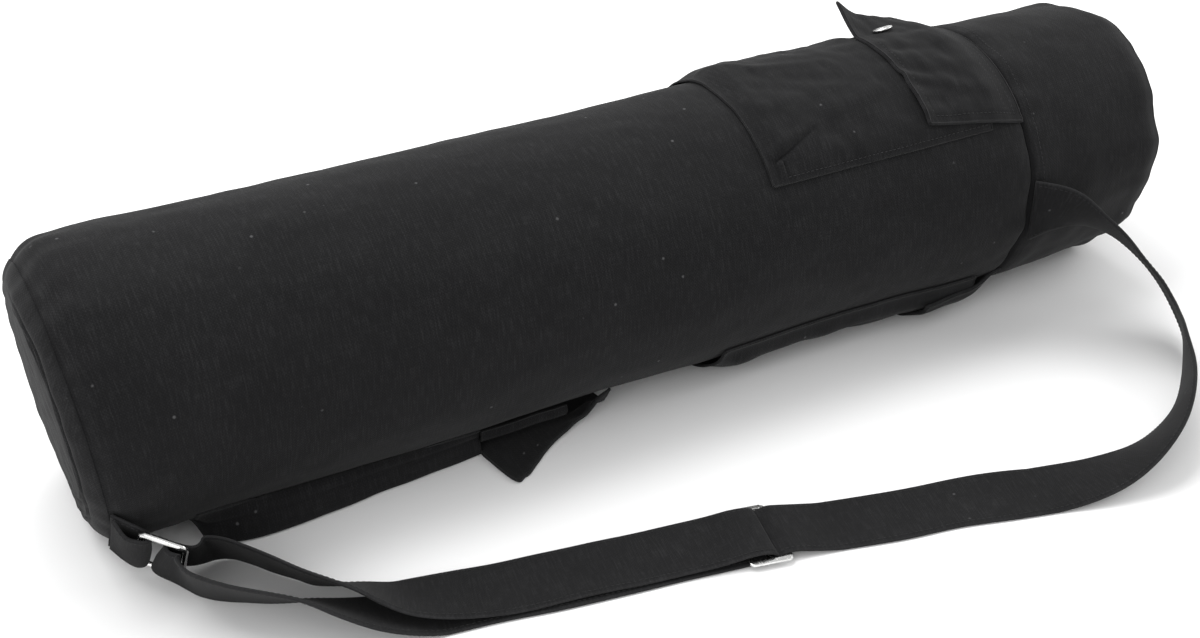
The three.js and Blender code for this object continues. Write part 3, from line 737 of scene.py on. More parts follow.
# %% [markdown]
# ## The upper pocket
# The pocket is a cargo pocket: its cloth is larger than its place on the tube, so it stands off
# like a low box. Its left edge and its two sides are sewn down, and the fullness is folded into
# a small pleat at the front corner. A simulation gives soft fabric but not this exact pleat, so
# the height off the tube is a sum of named forms: the box, its ridge, the pleat and creases.

# %% Fold lines
CREASE_COLUMNS = ("x1", "round1", "x2", "round2", "rise", "width")


def fold_lines(x, around, table):
    # Adds each fold of a table: a line from one place to another that rises or sinks, and fades
    # out at its far end
    total = np.zeros(np.broadcast(x, around).shape)
    for row in table:
        f = dict(zip(CREASE_COLUMNS, row))
        dx, dr = f["x2"] - f["x1"], f["round2"] - f["round1"]
        long = math.hypot(dx, dr)
        t = ((x - f["x1"]) * dx + (around - f["round1"]) * dr) / long**2
        t = np.clip(t, 0, 1)
        away = np.hypot(x - f["x1"] - t * dx, around - f["round1"] - t * dr)
        fade = 1 - 0.75 * t
        total = total + f["rise"] * fade * np.exp(-((away / f["width"]) ** 2))
    return total


print("each fold is given by", len(CREASE_COLUMNS), "numbers")

# %% [markdown]
# ## The pocket's height
# The height starts from a box that rises fast at the sewn edges and is pressed down under the
# flap. The pleat at the front corner is a deep narrow line with a rounded ridge beside it, and
# long soft folds run towards the mouth.

# %% Pocket shape
# The pocket's own flat sizes: x from its closed edge, round from its back side
POCKET_ROUND = math.radians(POCKET["high"] - POCKET["low"]) * RADIUS
POCKET_FOLDS = [
    (5.5, 117, 36, 105, -2.8, 1.5),
    (4, 112, 37, 100, 1.5, 3.4),
    (5.0, 117, 4.4, 129, -2.2, 0.9),
    (7.8, 118, 7.2, 129, 1.2, 1.2),
    (10.2, 119, 9.8, 129, -1.4, 0.9),
    (9, 29, 30, 49, 1.1, 4.0),
    (30, 49, 74, 58, 1.1, 4.0),
    (40, 40, 96, 26, -0.8, 7.0),
    (24, 74, 88, 70, -0.8, 8.0),
    (56, 96, 104, 84, 0.9, 6.0),
    (30, 122, 78, 112, 0.9, 6.0),
    (44, 108, 80, 99, -0.7, 5.0),
]
POCKET_BOX = [(0, 0), (0.03, 0.3), (0.09, 0.93), (0.16, 1), (0.35, 0.92), (0.6, 0.72)]
POCKET_BOX += [(0.82, 0.6), (0.93, 0.48), (1, 0)]


def pocket_height(x, angle):
    from_edge = x - POCKET["start"]
    around = np.radians(angle - POCKET["low"]) * RADIUS
    rise_x = 0.1 + 0.9 * step(from_edge, 0, 15)
    under_flap = 1 - 0.3 * step(from_edge, 106, 122)
    box = 5.6 * rise_x * curve(around / POCKET_ROUND, POCKET_BOX) * under_flap
    folds = fold_lines(from_edge, around, POCKET_FOLDS)
    cloudy = 0.4 * waves(from_edge, around, 0, 30, 41) + 0.16 * waves(from_edge, around, 0, 12, 42)
    free = step(POCKET_ROUND - around, 0, 6) * (0.3 + 0.7 * step(from_edge, 0, 6))
    return 0.9 + np.maximum(box + (folds + cloudy) * free, -0.1)


def pocket_surface(x, angle, off=0.0):
    return on_tube(x, angle, pocket_height(x, angle) + off)


print("the pocket stands", round(float(pocket_height(SEAM_X - 120, 0)), 1), "mm off the tube")

# %% [markdown]
# ## The upper pocket's cloth
# The grid is finer near the closed edge, where the pleat is. A row of stitches runs along each
# of the two sewn sides, just inside the edge.

# %% Upper pocket
edge = np.linspace(0, 1, 180)
x = POCKET["start"] + (POCKET["mouth"] - POCKET["start"]) * (0.5 * edge + 0.5 * edge**2)
x, angle = np.meshgrid(x, np.linspace(POCKET["high"], POCKET["low"], 180), indexing="ij")
grid = pocket_surface(x, angle)
uv = np.stack([x, np.radians(angle) * RADIUS + 0.9], axis=-1)
near_edge = np.minimum(x - POCKET["start"], np.radians(POCKET["high"] - angle) * RADIUS)
folds = fold_lines(x - POCKET["start"], near_edge, POCKET_FOLDS)
# Painted highlight along the sewn edges and on the fold ridges
painted_light = 0.12 * near(near_edge, 0, 1.6) + 0.3 * step(folds, 0.6, 1.4)
pocket = cloth("canvas_upper_pocket", grid, uv, 1.3, painted_light)
show(pocket, canvas, "upper_pocket")


def pocket_top(x, angle):
    return pocket_surface(x, angle, 0.9)


rows = [(POCKET["high"] - 2.2, 8), (POCKET["low"] + 2.5, 6)]
rows = [((POCKET["start"] + first, side), (SEAM_X - 26, side)) for side, first in rows]
stitched("stitches_upper_pocket", [line_on(pocket_top, first, last) for first, last in rows])

# %% [markdown]
# ## The upper flap
# The flap is two layers of canvas, turned inside out and topstitched along its edges, which
# makes it stiff enough to keep a curl. One end is caught in the ring seam. Its free edge lies
# on the pocket at the front and curls up at the back corner, with a crease where the curl starts.

# %% Flap shape
FLAP_BACK, FLAP_FRONT = (-30.0, 6.0), (51.5, -7.5)
FLAP_FOLDS = [
    (66, 68, 36, 88, 1.5, 3.6),
    (66, 60, 34, 80, -1.2, 5.0),
    (62, 38, 18, 46, 0.7, 6.0),
    (60, 92, 26, 100, -0.7, 6.0),
]
BACK_LIFT = [(0, 0.3), (0.1, 1.2), (0.3, 4.0), (0.5, 6.5)]
BACK_LIFT += [(0.63, 9.0), (0.83, 13.5), (0.93, 17.0), (1, 19.5)]


def flap_angle(free, share):
    # The flap has turned a little, so that both its sides run aslant
    back = FLAP_BACK[0] + FLAP_BACK[1] * free
    front = FLAP_FRONT[0] + FLAP_FRONT[1] * free
    return back + (front - back) * share


def flap_lift(free, from_back):
    reach = 13 + 9 * free
    return curve(free, BACK_LIFT) * np.clip(1 - from_back / reach, 0, 1) ** 1.5


def flap_surface(free, share, extra=0.0):
    free, share = np.broadcast_arrays(np.asarray(free, float), np.asarray(share, float))
    angle = flap_angle(free, share)
    wide = np.radians(flap_angle(free, 1.0) - flap_angle(free, 0.0)) * (RADIUS + 6)
    from_back = share * wide
    lift = flap_lift(free, from_back)
    along = FLAP_LONG * free - 0.24 * lift * step(free, 0.4, 1)
    x = SEAM_X - 0.4 - along
    over_pocket = pocket_height(np.minimum(x, POCKET["mouth"]), angle) + 1.9
    rest = 1.3 + np.maximum(over_pocket, 3.0) * step(free, 0.0, 0.34)
    uneven = 0.35 * waves(along, from_back, 0, 26, 51) + 0.12 * waves(along, from_back, 0, 11, 52)
    folds = fold_lines(FLAP_LONG * free, from_back, FLAP_FOLDS)
    height = rest + lift + (folds + uneven + 0.8 * near(wide - from_back, 6, 9)) * step(free, 0.05, 0.5)
    return on_tube(x, angle, height + extra, radius=RADIUS * 0.995)


print("the flap's back corner is lifted by", BACK_LIFT[-1][1], "mm")

# %% [markdown]
# ## The upper flap's cloth
# The flap is built as a two-layer cloth, with the size to which it was cut. It is thinner along its
# topstitching, where the thread pulls the two layers together.

# %% Upper flap
free, share = np.meshgrid(np.linspace(1, 0, 80), np.linspace(1, 0, 130), indexing="ij")
grid = flap_surface(free, share)
uv = np.stack([free * FLAP_LONG + 3.1, share * FLAP_WIDE + 1.7], axis=-1)
edges = np.minimum((1 - free) * FLAP_LONG, FLAP_WIDE * np.minimum(share, 1 - share))
INSET = 4.5
thick = 2.3 - 0.45 * near(edges, INSET, 1.1)
# Painted highlight along the flap's edges
flap = cloth("canvas_upper_flap", grid, uv, thick, 0.2 * near(edges, 0.4, 1.4))
show(flap, canvas, "upper_flap")


def flap_top(free, share):
    return flap_surface(free, share, 1.05)


def flap_line(first, last, count=160):
    return line_on(flap_top, first, last, count, (0.01, 0.01))


# Three rows follow the free edges, and two hold the flap down beside the ring seam
free_end, back, front = 1 - INSET / FLAP_LONG, INSET / FLAP_WIDE, 1 - INSET / FLAP_WIDE
rows = [flap_line((0.03, front), (free_end, front), 80)]
rows += [flap_line((free_end, front), (free_end, back))]
rows += [flap_line((free_end, back), (0.03, back), 80)]
rows += [flap_line((free, back), (free, front)) for free in (0.07, 0.16)]
stitched("stitches_upper_flap", rows)

# %% [markdown]
# ## Bright metal
# The snap, the ring and the slider are plated with nickel. It is bright, with fine scuffs that
# run one way and duller smudges from handling, and noise gives both.

# %% Metal
metal, metal_shader = principled("bright nickel", Metallic=1.0, Specular_IOR_Level=0.5)
place = Thread.out("Object", "ShaderNodeTexCoord")
scuffs = noise(stretched(place, 900.0, 160.0), 1.0, 3.0, 0.6)
smudge = noise(place, 120.0, 2.0, 0.5)
NICKEL, DULL_NICKEL = (0.80, 0.80, 0.79, 1), (0.66, 0.66, 0.65, 1)
feed(metal_shader, "Base Color", blended(smudge.between(0.35, 0.7), NICKEL, DULL_NICKEL))
feed(metal_shader, "Roughness", 0.16 + scuffs.between(0.45, 0.75) * 0.16 + smudge * 0.06)
raised(metal_shader, scuffs, 0.08, 0.0002)


print("metal is ready")

# %% [markdown]
# ## The snap's cap
# A bright cap is riveted through the flap. It is a turned part, so its section is spun round an
# axis: a rounded rim, a slope down to the middle and a rolled eye with dark cloth behind it. A
# Screw modifier does the same, but here the eye's faces have to be known.


# %% Snap cap
def spun(name, profile, turns=48):
    section = np.array(profile, float)
    angle = np.linspace(0, 2 * math.pi, turns, endpoint=False)
    points = [[0, 0, section[0, 1]]]
    for r, h in section[1:-1]:
        points += [[r * math.cos(a), r * math.sin(a), h] for a in angle]
    points.append([0, 0, section[-1, 1]])
    rings = len(section) - 2
    faces = []
    for k in range(turns):
        n = (k + 1) % turns
        faces.append((0, 1 + n, 1 + k))
        for ring in range(rings - 1):
            a, b = 1 + ring * turns, 1 + (ring + 1) * turns
            faces.append((a + k, a + n, b + n, b + k))
        last = 1 + (rings - 1) * turns
        faces.append((last + k, last + n, len(points) - 1))
    return build(name, np.array(points), faces, np.zeros((len(points), 2)))


# Each pair is a distance from the middle and a height
CAP_PROFILE = [(0, -0.6), (5.7, -0.6), (6.3, -0.2), (6.5, 0.25), (6.4, 0.7), (6.0, 1.0), (5.3, 1.15)]
CAP_PROFILE += [(4.4, 1.05), (3.4, 0.8), (2.8, 0.7), (2.4, 0.4), (2.2, -0.2), (0, -0.2)]
cap = spun("metal_snap_cap", CAP_PROFILE)
spot, up = flap_line((0.68, 0.19), (0.681, 0.19), 2)
CAP_LIFT = 1.5
turned = Vector(up[0]).to_track_quat("Z", "Y").to_matrix().to_4x4()
cap.data.transform(Matrix.Translation(Vector((spot[0] + CAP_LIFT * up[0]) * MM)) @ turned)
show(cap, metal, "snap_cap", slot="nickel")
# Cloth shows through the eye: the last two faces of each turn of the section
cap.data.materials.append(canvas)
FACES_PER_TURN = len(CAP_PROFILE) - 1
for face in cap.data.polygons:
    face.material_index = int(face.index % FACES_PER_TURN >= FACES_PER_TURN - 2)

# %% [markdown]
# ## The pocket underneath
# A twin of the pocket and its flap lies under the bag, where only its edge shows. It is pressed
# flat by the bag's weight. It uses the same kind of height as the upper one, with a lower puff.


# %% Lower pocket and flap
def lower_height(x, angle):
    around = np.radians(angle - LOWER_POCKET["low"]) * RADIUS
    from_edge = x - LOWER_POCKET["start"]
    wide = math.radians(LOWER_POCKET["high"] - LOWER_POCKET["low"]) * RADIUS
    box = 5.5 * (0.3 + 0.7 * step(from_edge, 0, 14)) * step(around, 0, 12) * step(wide - around, 0, 14)
    uneven = 0.5 * waves(x, around, 0, 30, 61) * step(around, 0, 10)
    return 1.6 + np.maximum(box + uneven * step(from_edge, 0, 12), -0.2)


def under_floor(x):
    return 0.9 + LAYER * step(x, FLAP_X - 10, FLAP_X) * (1 - step(x, SEAM_X, SEAM_X + 30))


x = np.linspace(LOWER_POCKET["start"], LOWER_POCKET["mouth"], 90)
angle = np.linspace(LOWER_POCKET["high"], LOWER_POCKET["low"], 80)
x, angle = np.meshgrid(x, angle, indexing="ij")
grid = on_tube(x, angle, lower_height(x, angle), floor=under_floor(x))
uv = np.stack([x, np.radians(angle) * RADIUS + 0.9], axis=-1)
# Painted highlight along the pocket's upper side edge
under_pocket = cloth("canvas_lower_pocket", grid, uv, 1.5, 0.5 * near(angle, LOWER_POCKET["low"], 1.2))
show(under_pocket, canvas, "lower_pocket")

FLAP_EDGE = 131
x, angle = np.meshgrid(np.linspace(FLAP_X, SEAM_X - 0.4, 40), np.linspace(213, FLAP_EDGE, 70), indexing="ij")
free = (SEAM_X - x) / (SEAM_X - FLAP_X)
off = 1.6 + (lower_height(np.minimum(x, LOWER_POCKET["mouth"]), angle) + 1.2) * step(free, 0.02, 0.42)
off = off + 3.0 * near(angle, FLAP_EDGE, 9) * free**1.5
grid = on_tube(x, angle, off, floor=1.0 + 0 * x, radius=RADIUS - 0.4)
uv = np.stack([x + 3.1, np.radians(angle) * RADIUS + 1.7], axis=-1)
# Painted highlight along the flap's free edge
under_flap = cloth("canvas_lower_flap", grid, uv, 2.0, 0.6 * near(angle, FLAP_EDGE, 1.2))
show(under_flap, canvas, "lower_flap")

# %% [markdown]
# ## The side pocket
# Low on the strap side, a long flat pocket is sewn along the tube. It isn't held down at its
# lower side, so its cloth hangs to the floor and turns back under the bag. Its section is a
# short line of points, and a table says how far the section is spread at each place along it.

# %% Side pocket's tables
SIDE_X = BOTTOM_X + 50.0
SIDE_LONG = 163.0
SIDE_ROWS = [
    # along, spread, sewing angle: the closed end is a little narrower and the mouth hangs less
    (0.0, 0.66, -5.0),
    (0.04, 0.86, -4.5),
    (0.11, 0.98, -3.0),
    (0.325, 1.034, 1.0),
    (0.54, 0.93, 2.5),
    (0.784, 0.85, 3.5),
    (1.0, 0.72, 4.0),
]
HIDDEN_EDGE = 0.34
SIDE_SECTION = [
    # share of the way from the sewn line to the hidden edge, then out and up as shares of RADIUS
    (0.0, 0.70, 0.28),
    (0.12, 0.735, 0.19),
    (0.26, 0.775, 0.09),
    (0.36, 0.785, 0.03),
    (0.42, 0.765, 0.012),
    (0.6, 0.62, 0.012),
    (1.0, HIDDEN_EDGE, 0.012),
]


print("the side pocket's section has", len(SIDE_SECTION), "points")

# %% [markdown]
# ## The side pocket's cloth
# The sewn line follows the tube, and the rest blends over to the hanging section within a short
# way. At the closed end the cloth is drawn back to the tube, as its end seam does on the real
# bag.


# %% Side pocket
def side_surface(along, share):
    spread = curve(along, [(row[0], row[1]) for row in SIDE_ROWS])
    sewn = np.radians(136 + curve(along, [(row[0], row[2]) for row in SIDE_ROWS]))
    out = curve(share, [(row[0], row[1]) for row in SIDE_SECTION])
    up = curve(share, [(row[0], row[2]) for row in SIDE_SECTION])
    top_y, top_z = (RADIUS + 1.5) * np.sin(sewn), AXIS_Z + (RADIUS + 1.5) * np.cos(sewn)
    held = 1 - step(share, 0.0, 0.16)
    y = RADIUS * (HIDDEN_EDGE + (out - HIDDEN_EDGE) * spread)
    z = RADIUS * up * (0.3 + 0.7 * spread)
    ripple = 0.6 * waves(along * SIDE_LONG, share * 60, 0, 38, 71) * step(share, 0.05, 0.3)
    ripple = ripple - 0.9 * near(share, 0.15, 0.018) + 0.5 * near(share, 0.11, 0.03)
    y = held * top_y + (1 - held) * y + ripple * (1 - step(share, 0.4, 0.6))
    z = held * top_z + (1 - held) * z
    # The closed end is sewn flat to the tube
    closed = 1 - step(along, 0.0, 0.04)
    pulled = 1 + closed * ((RADIUS + 1.4) / np.hypot(y, z - AXIS_Z) - 1)
    y, z = y * pulled, AXIS_Z + (z - AXIS_Z) * pulled
    x = SIDE_X + along * SIDE_LONG
    return np.stack(np.broadcast_arrays(x, -y, held_up(z, 0.9, 0.5)), axis=-1)


along, share = np.meshgrid(np.linspace(0, 1, 110), np.linspace(1, 0, 60), indexing="ij")
grid = side_surface(along, share)
SIDE_WIDE = 62
uv = np.stack([along * SIDE_LONG, share * SIDE_WIDE], axis=-1)
# Painted highlight along the sewn line
side_pocket = cloth("canvas_side_pocket", grid, uv, 1.4, 0.4 * near(share, 0.0, 0.04))
show(side_pocket, canvas, "side_pocket")
print("side pocket starts", SIDE_X - BOTTOM_X, "mm from the bottom seam")

# %% [markdown]
# ## The hem
# The side pocket's hem runs on past its mouth as a narrow folded band. It is a strip of cloth
# with two layers, and soft waves keep it from looking ruled.

# %% Hem
MOUTH = SIDE_X + SIDE_LONG + 0.8
HEM_LONG = 53.0
HEM_TALL = 6.0
HEM_ANGLE = math.radians(139.5)
t, down = np.meshgrid(np.linspace(0, 1, 50), np.linspace(1, 0, 9), indexing="ij")
along = t * HEM_LONG
y = -(RADIUS + 1.9) * math.sin(HEM_ANGLE) - 0.8 * np.sin(down * math.pi) - 0.5 * waves(along, 0, 0, 25, 81)
z = AXIS_Z + (RADIUS + 1.9) * math.cos(HEM_ANGLE) - down * HEM_TALL + 0.4 * waves(along, 3, 0, 25, 82)
grid = np.stack([MOUTH + along, y, z], axis=-1)
uv = np.stack([along, down * HEM_TALL], axis=-1)
# Painted highlight along the hem's lower edge
hem = cloth("canvas_side_hem", grid, uv, 1.2, 0.3 * near(down, 1, 0.2))
show(hem, canvas, "side_hem")

# %% [markdown]
# ## The loose flap
# The side pocket's flap has slipped out and lies on the floor: a flat sheet with one rucked end.
# Its outer edge comes from a table, and its far end curls up towards the hem.

# %% Loose flap
LOOSE_LONG = 82.0
LOOSE_EDGE = [(0.0, 0.68), (0.05, 0.99), (0.15, 1.035), (0.27, 0.95), (0.39, 0.85)]
LOOSE_EDGE += [(0.657, 0.71), (0.85, 0.66), (1.0, 0.64)]
LOOSE_RISE = [(0.0, 0.012), (0.3, 0.012), (0.5, 0.03), (0.8, 0.09), (0.92, 0.17), (1.0, 0.2)]


def loose_surface(along, back):
    edge = curve(along, LOOSE_EDGE)
    out = RADIUS * (edge + (0.3 - edge) * back)
    curl = (1 - back) ** 2.2
    place = along * LOOSE_LONG, back * 40, 0
    ruck = 1.6 * waves(*place, 13, 91) * step(along, 0.6, 0.85) * curl
    uneven = 0.5 * waves(*place, 26, 92) * step(back, 0.0, 0.3)
    z = RADIUS * curve(along, LOOSE_RISE) * curl + uneven + ruck
    z = held_up(z, 1.1, 0.5)
    return np.stack(np.broadcast_arrays(MOUTH + along * LOOSE_LONG, -out, z), axis=-1)


along, back = np.meshgrid(np.linspace(0, 1, 90), np.linspace(0, 1, 50), indexing="ij")
grid = loose_surface(along, back)
uv = np.stack([along * LOOSE_LONG, back * 50], axis=-1)
# Painted highlight along the flap's outer edge
loose = cloth("canvas_side_flap", grid, uv, 1.9, 0.5 * near(back, 0, 0.05))
show(loose, canvas, "side_flap")

# %% [markdown]
# ## The strap
# The strap is canvas folded to a band 40 mm wide and stitched along both edges. It is flat, so
# it is modelled directly: a section with soft edges follows a route. Each row of the route says
# where the strap's middle is and how much its right edge is raised. From the ring seam the strap
# stands on its edge, turns over and lies down, goes under the slider and reaches the ring. There
# it turns back on top of itself and ends round the slider's middle bar.

# %% The strap's route
ROUTE_COLUMNS = ("along", "out", "roll", "lift", "layer")
FAR_ROUTE = [
    (0.0770, 0.5080, 54, 0.01, 0),
    (0.0891, 0.5507, 56, 0, 0),
    (0.1019, 0.63, 57, 0, 0),
    (0.1151, 0.7063, 55, 0, 0),
    (0.1275, 0.781, 51, 0, 0),
    (0.1587, 0.8694, 36, 0, 0),
    (0.1732, 0.9188, 26, 0, 0.2),
    (0.1853, 0.9475, 15, 0, 0.6),
    (0.2148, 0.9875, 5, 0, 1),
    (0.2593, 1.031, 0, 0, 1),
    (0.3185, 1.072, 0, 0, 1),
    (0.3926, 1.127, 0, 0, 1),
]
NEAR_ROUTE = [
    (0.0472, 0.6156, 68, 0, 0),
    (0.0526, 0.6631, 60, 0, 0),
    (0.0612, 0.7027, 56, 0, 0),
    (0.0769, 0.7556, 51, 0, 0),
    (0.0923, 0.8009, 48, 0, 0),
    (0.1182, 0.8625, 40, 0, 0),
    (0.1403, 0.9256, 28, 0, 0),
    (0.1633, 0.97, 14, 0, 0),
    (0.2059, 1.003, 0, 0, 0),
    (0.2593, 1.044, 0, 0, 0),
    (0.3185, 1.088, 0, 0, 0),
    (0.3926, 1.137, 0, 0, 0),
]
LONG_ROUTE = [
    (0.5156, 1.244, 0, 0, 0),
    (0.5674, 1.3, 0, 0, 0),
    (0.6267, 1.35, 0, 0, 0),
    (0.6919, 1.429, 0, 0, 0),
    (0.7532, 1.482, 15, 0, 0),
    (0.8033, 1.463, 46, 0, 0),
    (0.8556, 1.339, 76, 0, 0),
    (0.8972, 1.166, 96, 0.01, 0),
    (0.9347, 0.971, 117, 0.05, 0),
    (0.9256, 0.7825, 147, 0.48, 0),
    (0.8936, 0.65, 141, 0.73, 0),
    (0.8712, 0.572, 112, 0.73, 0),
]


print("strap rows:", len(FAR_ROUTE) + len(NEAR_ROUTE) + len(LONG_ROUTE))

# %% [markdown]
# ## From rows to stations
# A station is a place, the direction of the strap's width there, and how wide the strap is. The
# height follows from the tilt: the middle of a strap that stands on its edge is half its width
# above the floor.


# %% Stations of the route
def bag_place(along, out, up):
    # Along the bag as a share of its length, out as a share of its width, up as one of its radius
    return np.array([BOTTOM_X + along * TOTAL, -2 * RADIUS * out, RADIUS * up])


def route(table):
    rows = [dict(zip(ROUTE_COLUMNS, row)) for row in table]
    roll = np.radians([row["roll"] for row in rows])
    lying = 0.5 * (STRAP_WIDTH * np.abs(np.sin(roll)) + STRAP_THICK * np.abs(np.cos(roll)))
    centre = np.array([bag_place(row["along"], row["out"], row["lift"]) for row in rows])
    centre[:, 2] += lying + (STRAP_THICK + 0.5) * np.array([row["layer"] for row in rows])
    ahead = centre[np.minimum(np.arange(len(rows)) + 1, len(rows) - 1)]
    ahead = ahead - centre[np.maximum(np.arange(len(rows)) - 1, 0)]
    right = unit(np.stack([ahead[:, 1], -ahead[:, 0], 0 * roll], axis=1))
    up = unit(np.cross(right, ahead))
    side = right * np.cos(roll)[:, None] + up * np.sin(roll)[:, None]
    return [(c, s, STRAP_WIDTH) for c, s in zip(centre, side)]


print("the longest stretch starts at", route(LONG_ROUTE)[0][0].round())

# %% [markdown]
# ## Hardware places
# The ring leans against the bag with its tab, and the slider lies where the strap doubles. Each
# has a frame of its own, and the cloth that passes it is placed in that frame.

# %% Ring and slider frames
WIRE = 3.2
RING_WIDTH, RING_LONG = 23.0, 36.0
ring_at = bag_place(0.0381, 0.4925, 0.261)
ring_y = unit(np.array([0, -0.53, 0.848]))
ring_z = unit(np.cross([0.77, -0.54, -0.337], ring_y))
ring_x = np.cross(ring_y, ring_z)
GATHERED = RING_LONG - WIRE - 2.0
AROUND_WIRE = WIRE / 2 + 0.5 + STRAP_THICK / 2


def held(across, behind, wide=GATHERED, slant=0.0, lower=0.0):
    # A place in the ring, with the cloth's width along its short bars or slanted from them
    centre = ring_at + ring_x * across - ring_z * behind - ring_y * lower
    return centre, unit(ring_y + ring_x * slant), wide


slider_at = bag_place(0.456, 1.184, 0)
slider_turn = math.radians(-12)
slider_ahead = np.array([math.cos(slider_turn), math.sin(slider_turn), 0])
slider_right = np.array([slider_ahead[1], -slider_ahead[0], 0])
SLIDER_THICK, SLIDER_BAR, SLIDER_WIDTH = 1.6, 3.0, 24.0
SLIDER_Z = STRAP_THICK + 0.5 + SLIDER_THICK / 2


def at_slider(ahead, height):
    return slider_at + slider_ahead * ahead + np.array([0, 0, height]), slider_right, STRAP_WIDTH


print("ring centre", ring_at.round(), "slider", slider_at.round())

# %% [markdown]
# ## A smooth path
# Between the stations a smooth curve carries the middle, the side direction and the width. A
# Bezier curve in Blender does this too, but here the width and the twist have to follow as well.


# %% A smooth path
def smooth_path(stations, per_span):
    # Centripetal Catmull-Rom, which doesn't overshoot between uneven stations
    points = np.array([np.concatenate([c, s * 30, [w]]) for c, s, w in stations])
    padded = np.concatenate([[2 * points[0] - points[1]], points, [2 * points[-1] - points[-2]]])
    out = []
    for k in range(1, len(padded) - 2):
        p0, p1, p2, p3 = padded[k - 1 : k + 3]
        gaps = [max(np.linalg.norm((b - a)[:3]), 0.3) ** 0.5 for a, b in ((p0, p1), (p1, p2), (p2, p3))]
        m1 = (p2 - p1) + gaps[1] * ((p1 - p0) / gaps[0] - (p2 - p0) / (gaps[0] + gaps[1]))
        m2 = (p2 - p1) + gaps[1] * ((p3 - p2) / gaps[2] - (p3 - p1) / (gaps[1] + gaps[2]))
        out += [eased(t, p1, m1, p2, m2) for t in np.linspace(0, 1, per_span, endpoint=False)]
    return np.array([*out, points[-1]])


def evenly(path, gap):
    gone = np.concatenate([[0], np.cumsum(np.linalg.norm(np.diff(path[:, :3], axis=0), axis=1))])
    places = np.linspace(0, gone[-1], int(gone[-1] / gap) + 1)
    return np.stack([np.interp(places, gone, path[:, k]) for k in range(path.shape[1])], axis=1), places


def relaxed(path, times, fixed=3):
    # Cloth has no sharp bend, so neighbouring places are averaged a few times
    out = path.copy()
    for _ in range(times):
        average = 0.25 * out[:-2] + 0.5 * out[1:-1] + 0.25 * out[2:]
        out[fixed:-fixed] = average[fixed - 1 : 1 - fixed]
    return out


print("paths can be smoothed")

# %% [markdown]
# ## Bands that follow a path
# The section of a band is a flat loop with rounded edges, a little thicker at the stitched edges
# than inside. Where the band is free of the floor, it ripples and cups a little.

# %% A band
SECTION = [(-1, -0.1), (-0.985, 0.5), (-0.93, 0.95), (-0.84, 0.9), (-0.6, 0.8), (0, 0.78)]
SECTION += [(-a, b) for a, b in SECTION[-2::-1]]
SECTION = SECTION + [(-a, -b) for a, b in SECTION[1:-1]]
PER_SPAN = 14


def band(name, stations, thick, gap, smoothing, seed):
    path, _ = evenly(smooth_path(stations, PER_SPAN), gap)
    path, places = evenly(relaxed(path, smoothing), gap)
    centre, side, wide = path[:, :3], path[:, 3:6], path[:, 6]
    side = unit(side)
    up = unit(np.cross(side, np.gradient(centre, axis=0)))
    section = np.array(SECTION)
    ripple = 0.35 * waves(places, 0, 0, 40, seed + 1)
    wide = wide + 0.5 * waves(places, 9, 0, 55, seed + 2)
    lowest = np.abs(side[:, 2]) * wide / 2 + np.abs(up[:, 2]) * thick / 2
    centre[:, 2] = np.maximum(centre[:, 2], lowest + 0.05)
    across = section[:, 0] * (wide[:, None] / 2)
    puff = section[:, 1] * thick / 2
    cup = 0.6 * waves(places[:, None] * 1.0, across * 0.6, 0, 32, seed + 3) * (1 - section[:, 0] ** 2)
    free = step(centre[:, 2] - lowest, 0.3, 6)[:, None]
    grid = centre[:, None] + side[:, None] * across[..., None]
    grid = grid + up[:, None] * (puff + free * (cup + ripple[:, None]))[..., None]
    grid[:, :, 2] = np.maximum(grid[:, :, 2], 0.05)
    rows, cols = grid.shape[:2]
    points = grid.reshape(-1, 3)
    faces = hoops(rows, cols)
    faces.append(tuple(range(cols))[::-1])
    faces.append(tuple((rows - 1) * cols + j for j in range(cols)))
    uv = np.stack([np.repeat(places[:, None], cols, 1), across + 100 * (section[:, 1] < 0)], axis=-1)
    # Painted highlight along both edges of the band
    painted_light = 0.75 * near(np.abs(section[:, 0]), 1.0, 0.05)[None] * np.ones((rows, 1))
    made = build(name, points, faces, uv.reshape(-1, 2), painted_light.ravel())
    lines = []
    for edge in (-0.86, 0.86):
        for face in (1, -1):
            middle = centre + side * (edge * wide / 2)[:, None]
            middle = middle + up * (face * 0.92 * thick / 2 + free[:, 0] * ripple)[:, None]
            middle[:, 2] = np.maximum(middle[:, 2], 0.3)
            lines.append((middle, up * face))
    return made, lines


print("a band's section has", len(SECTION), "corners")

# %% [markdown]
# ## The strap itself
# The stations follow the strap from its sewn end over the slider's middle bar, along the upper
# layer to the ring, round the ring's wire, back along the lower layer through the slider, and on
# to the ring seam. Its cloth is the bag's canvas with a finer thread count.

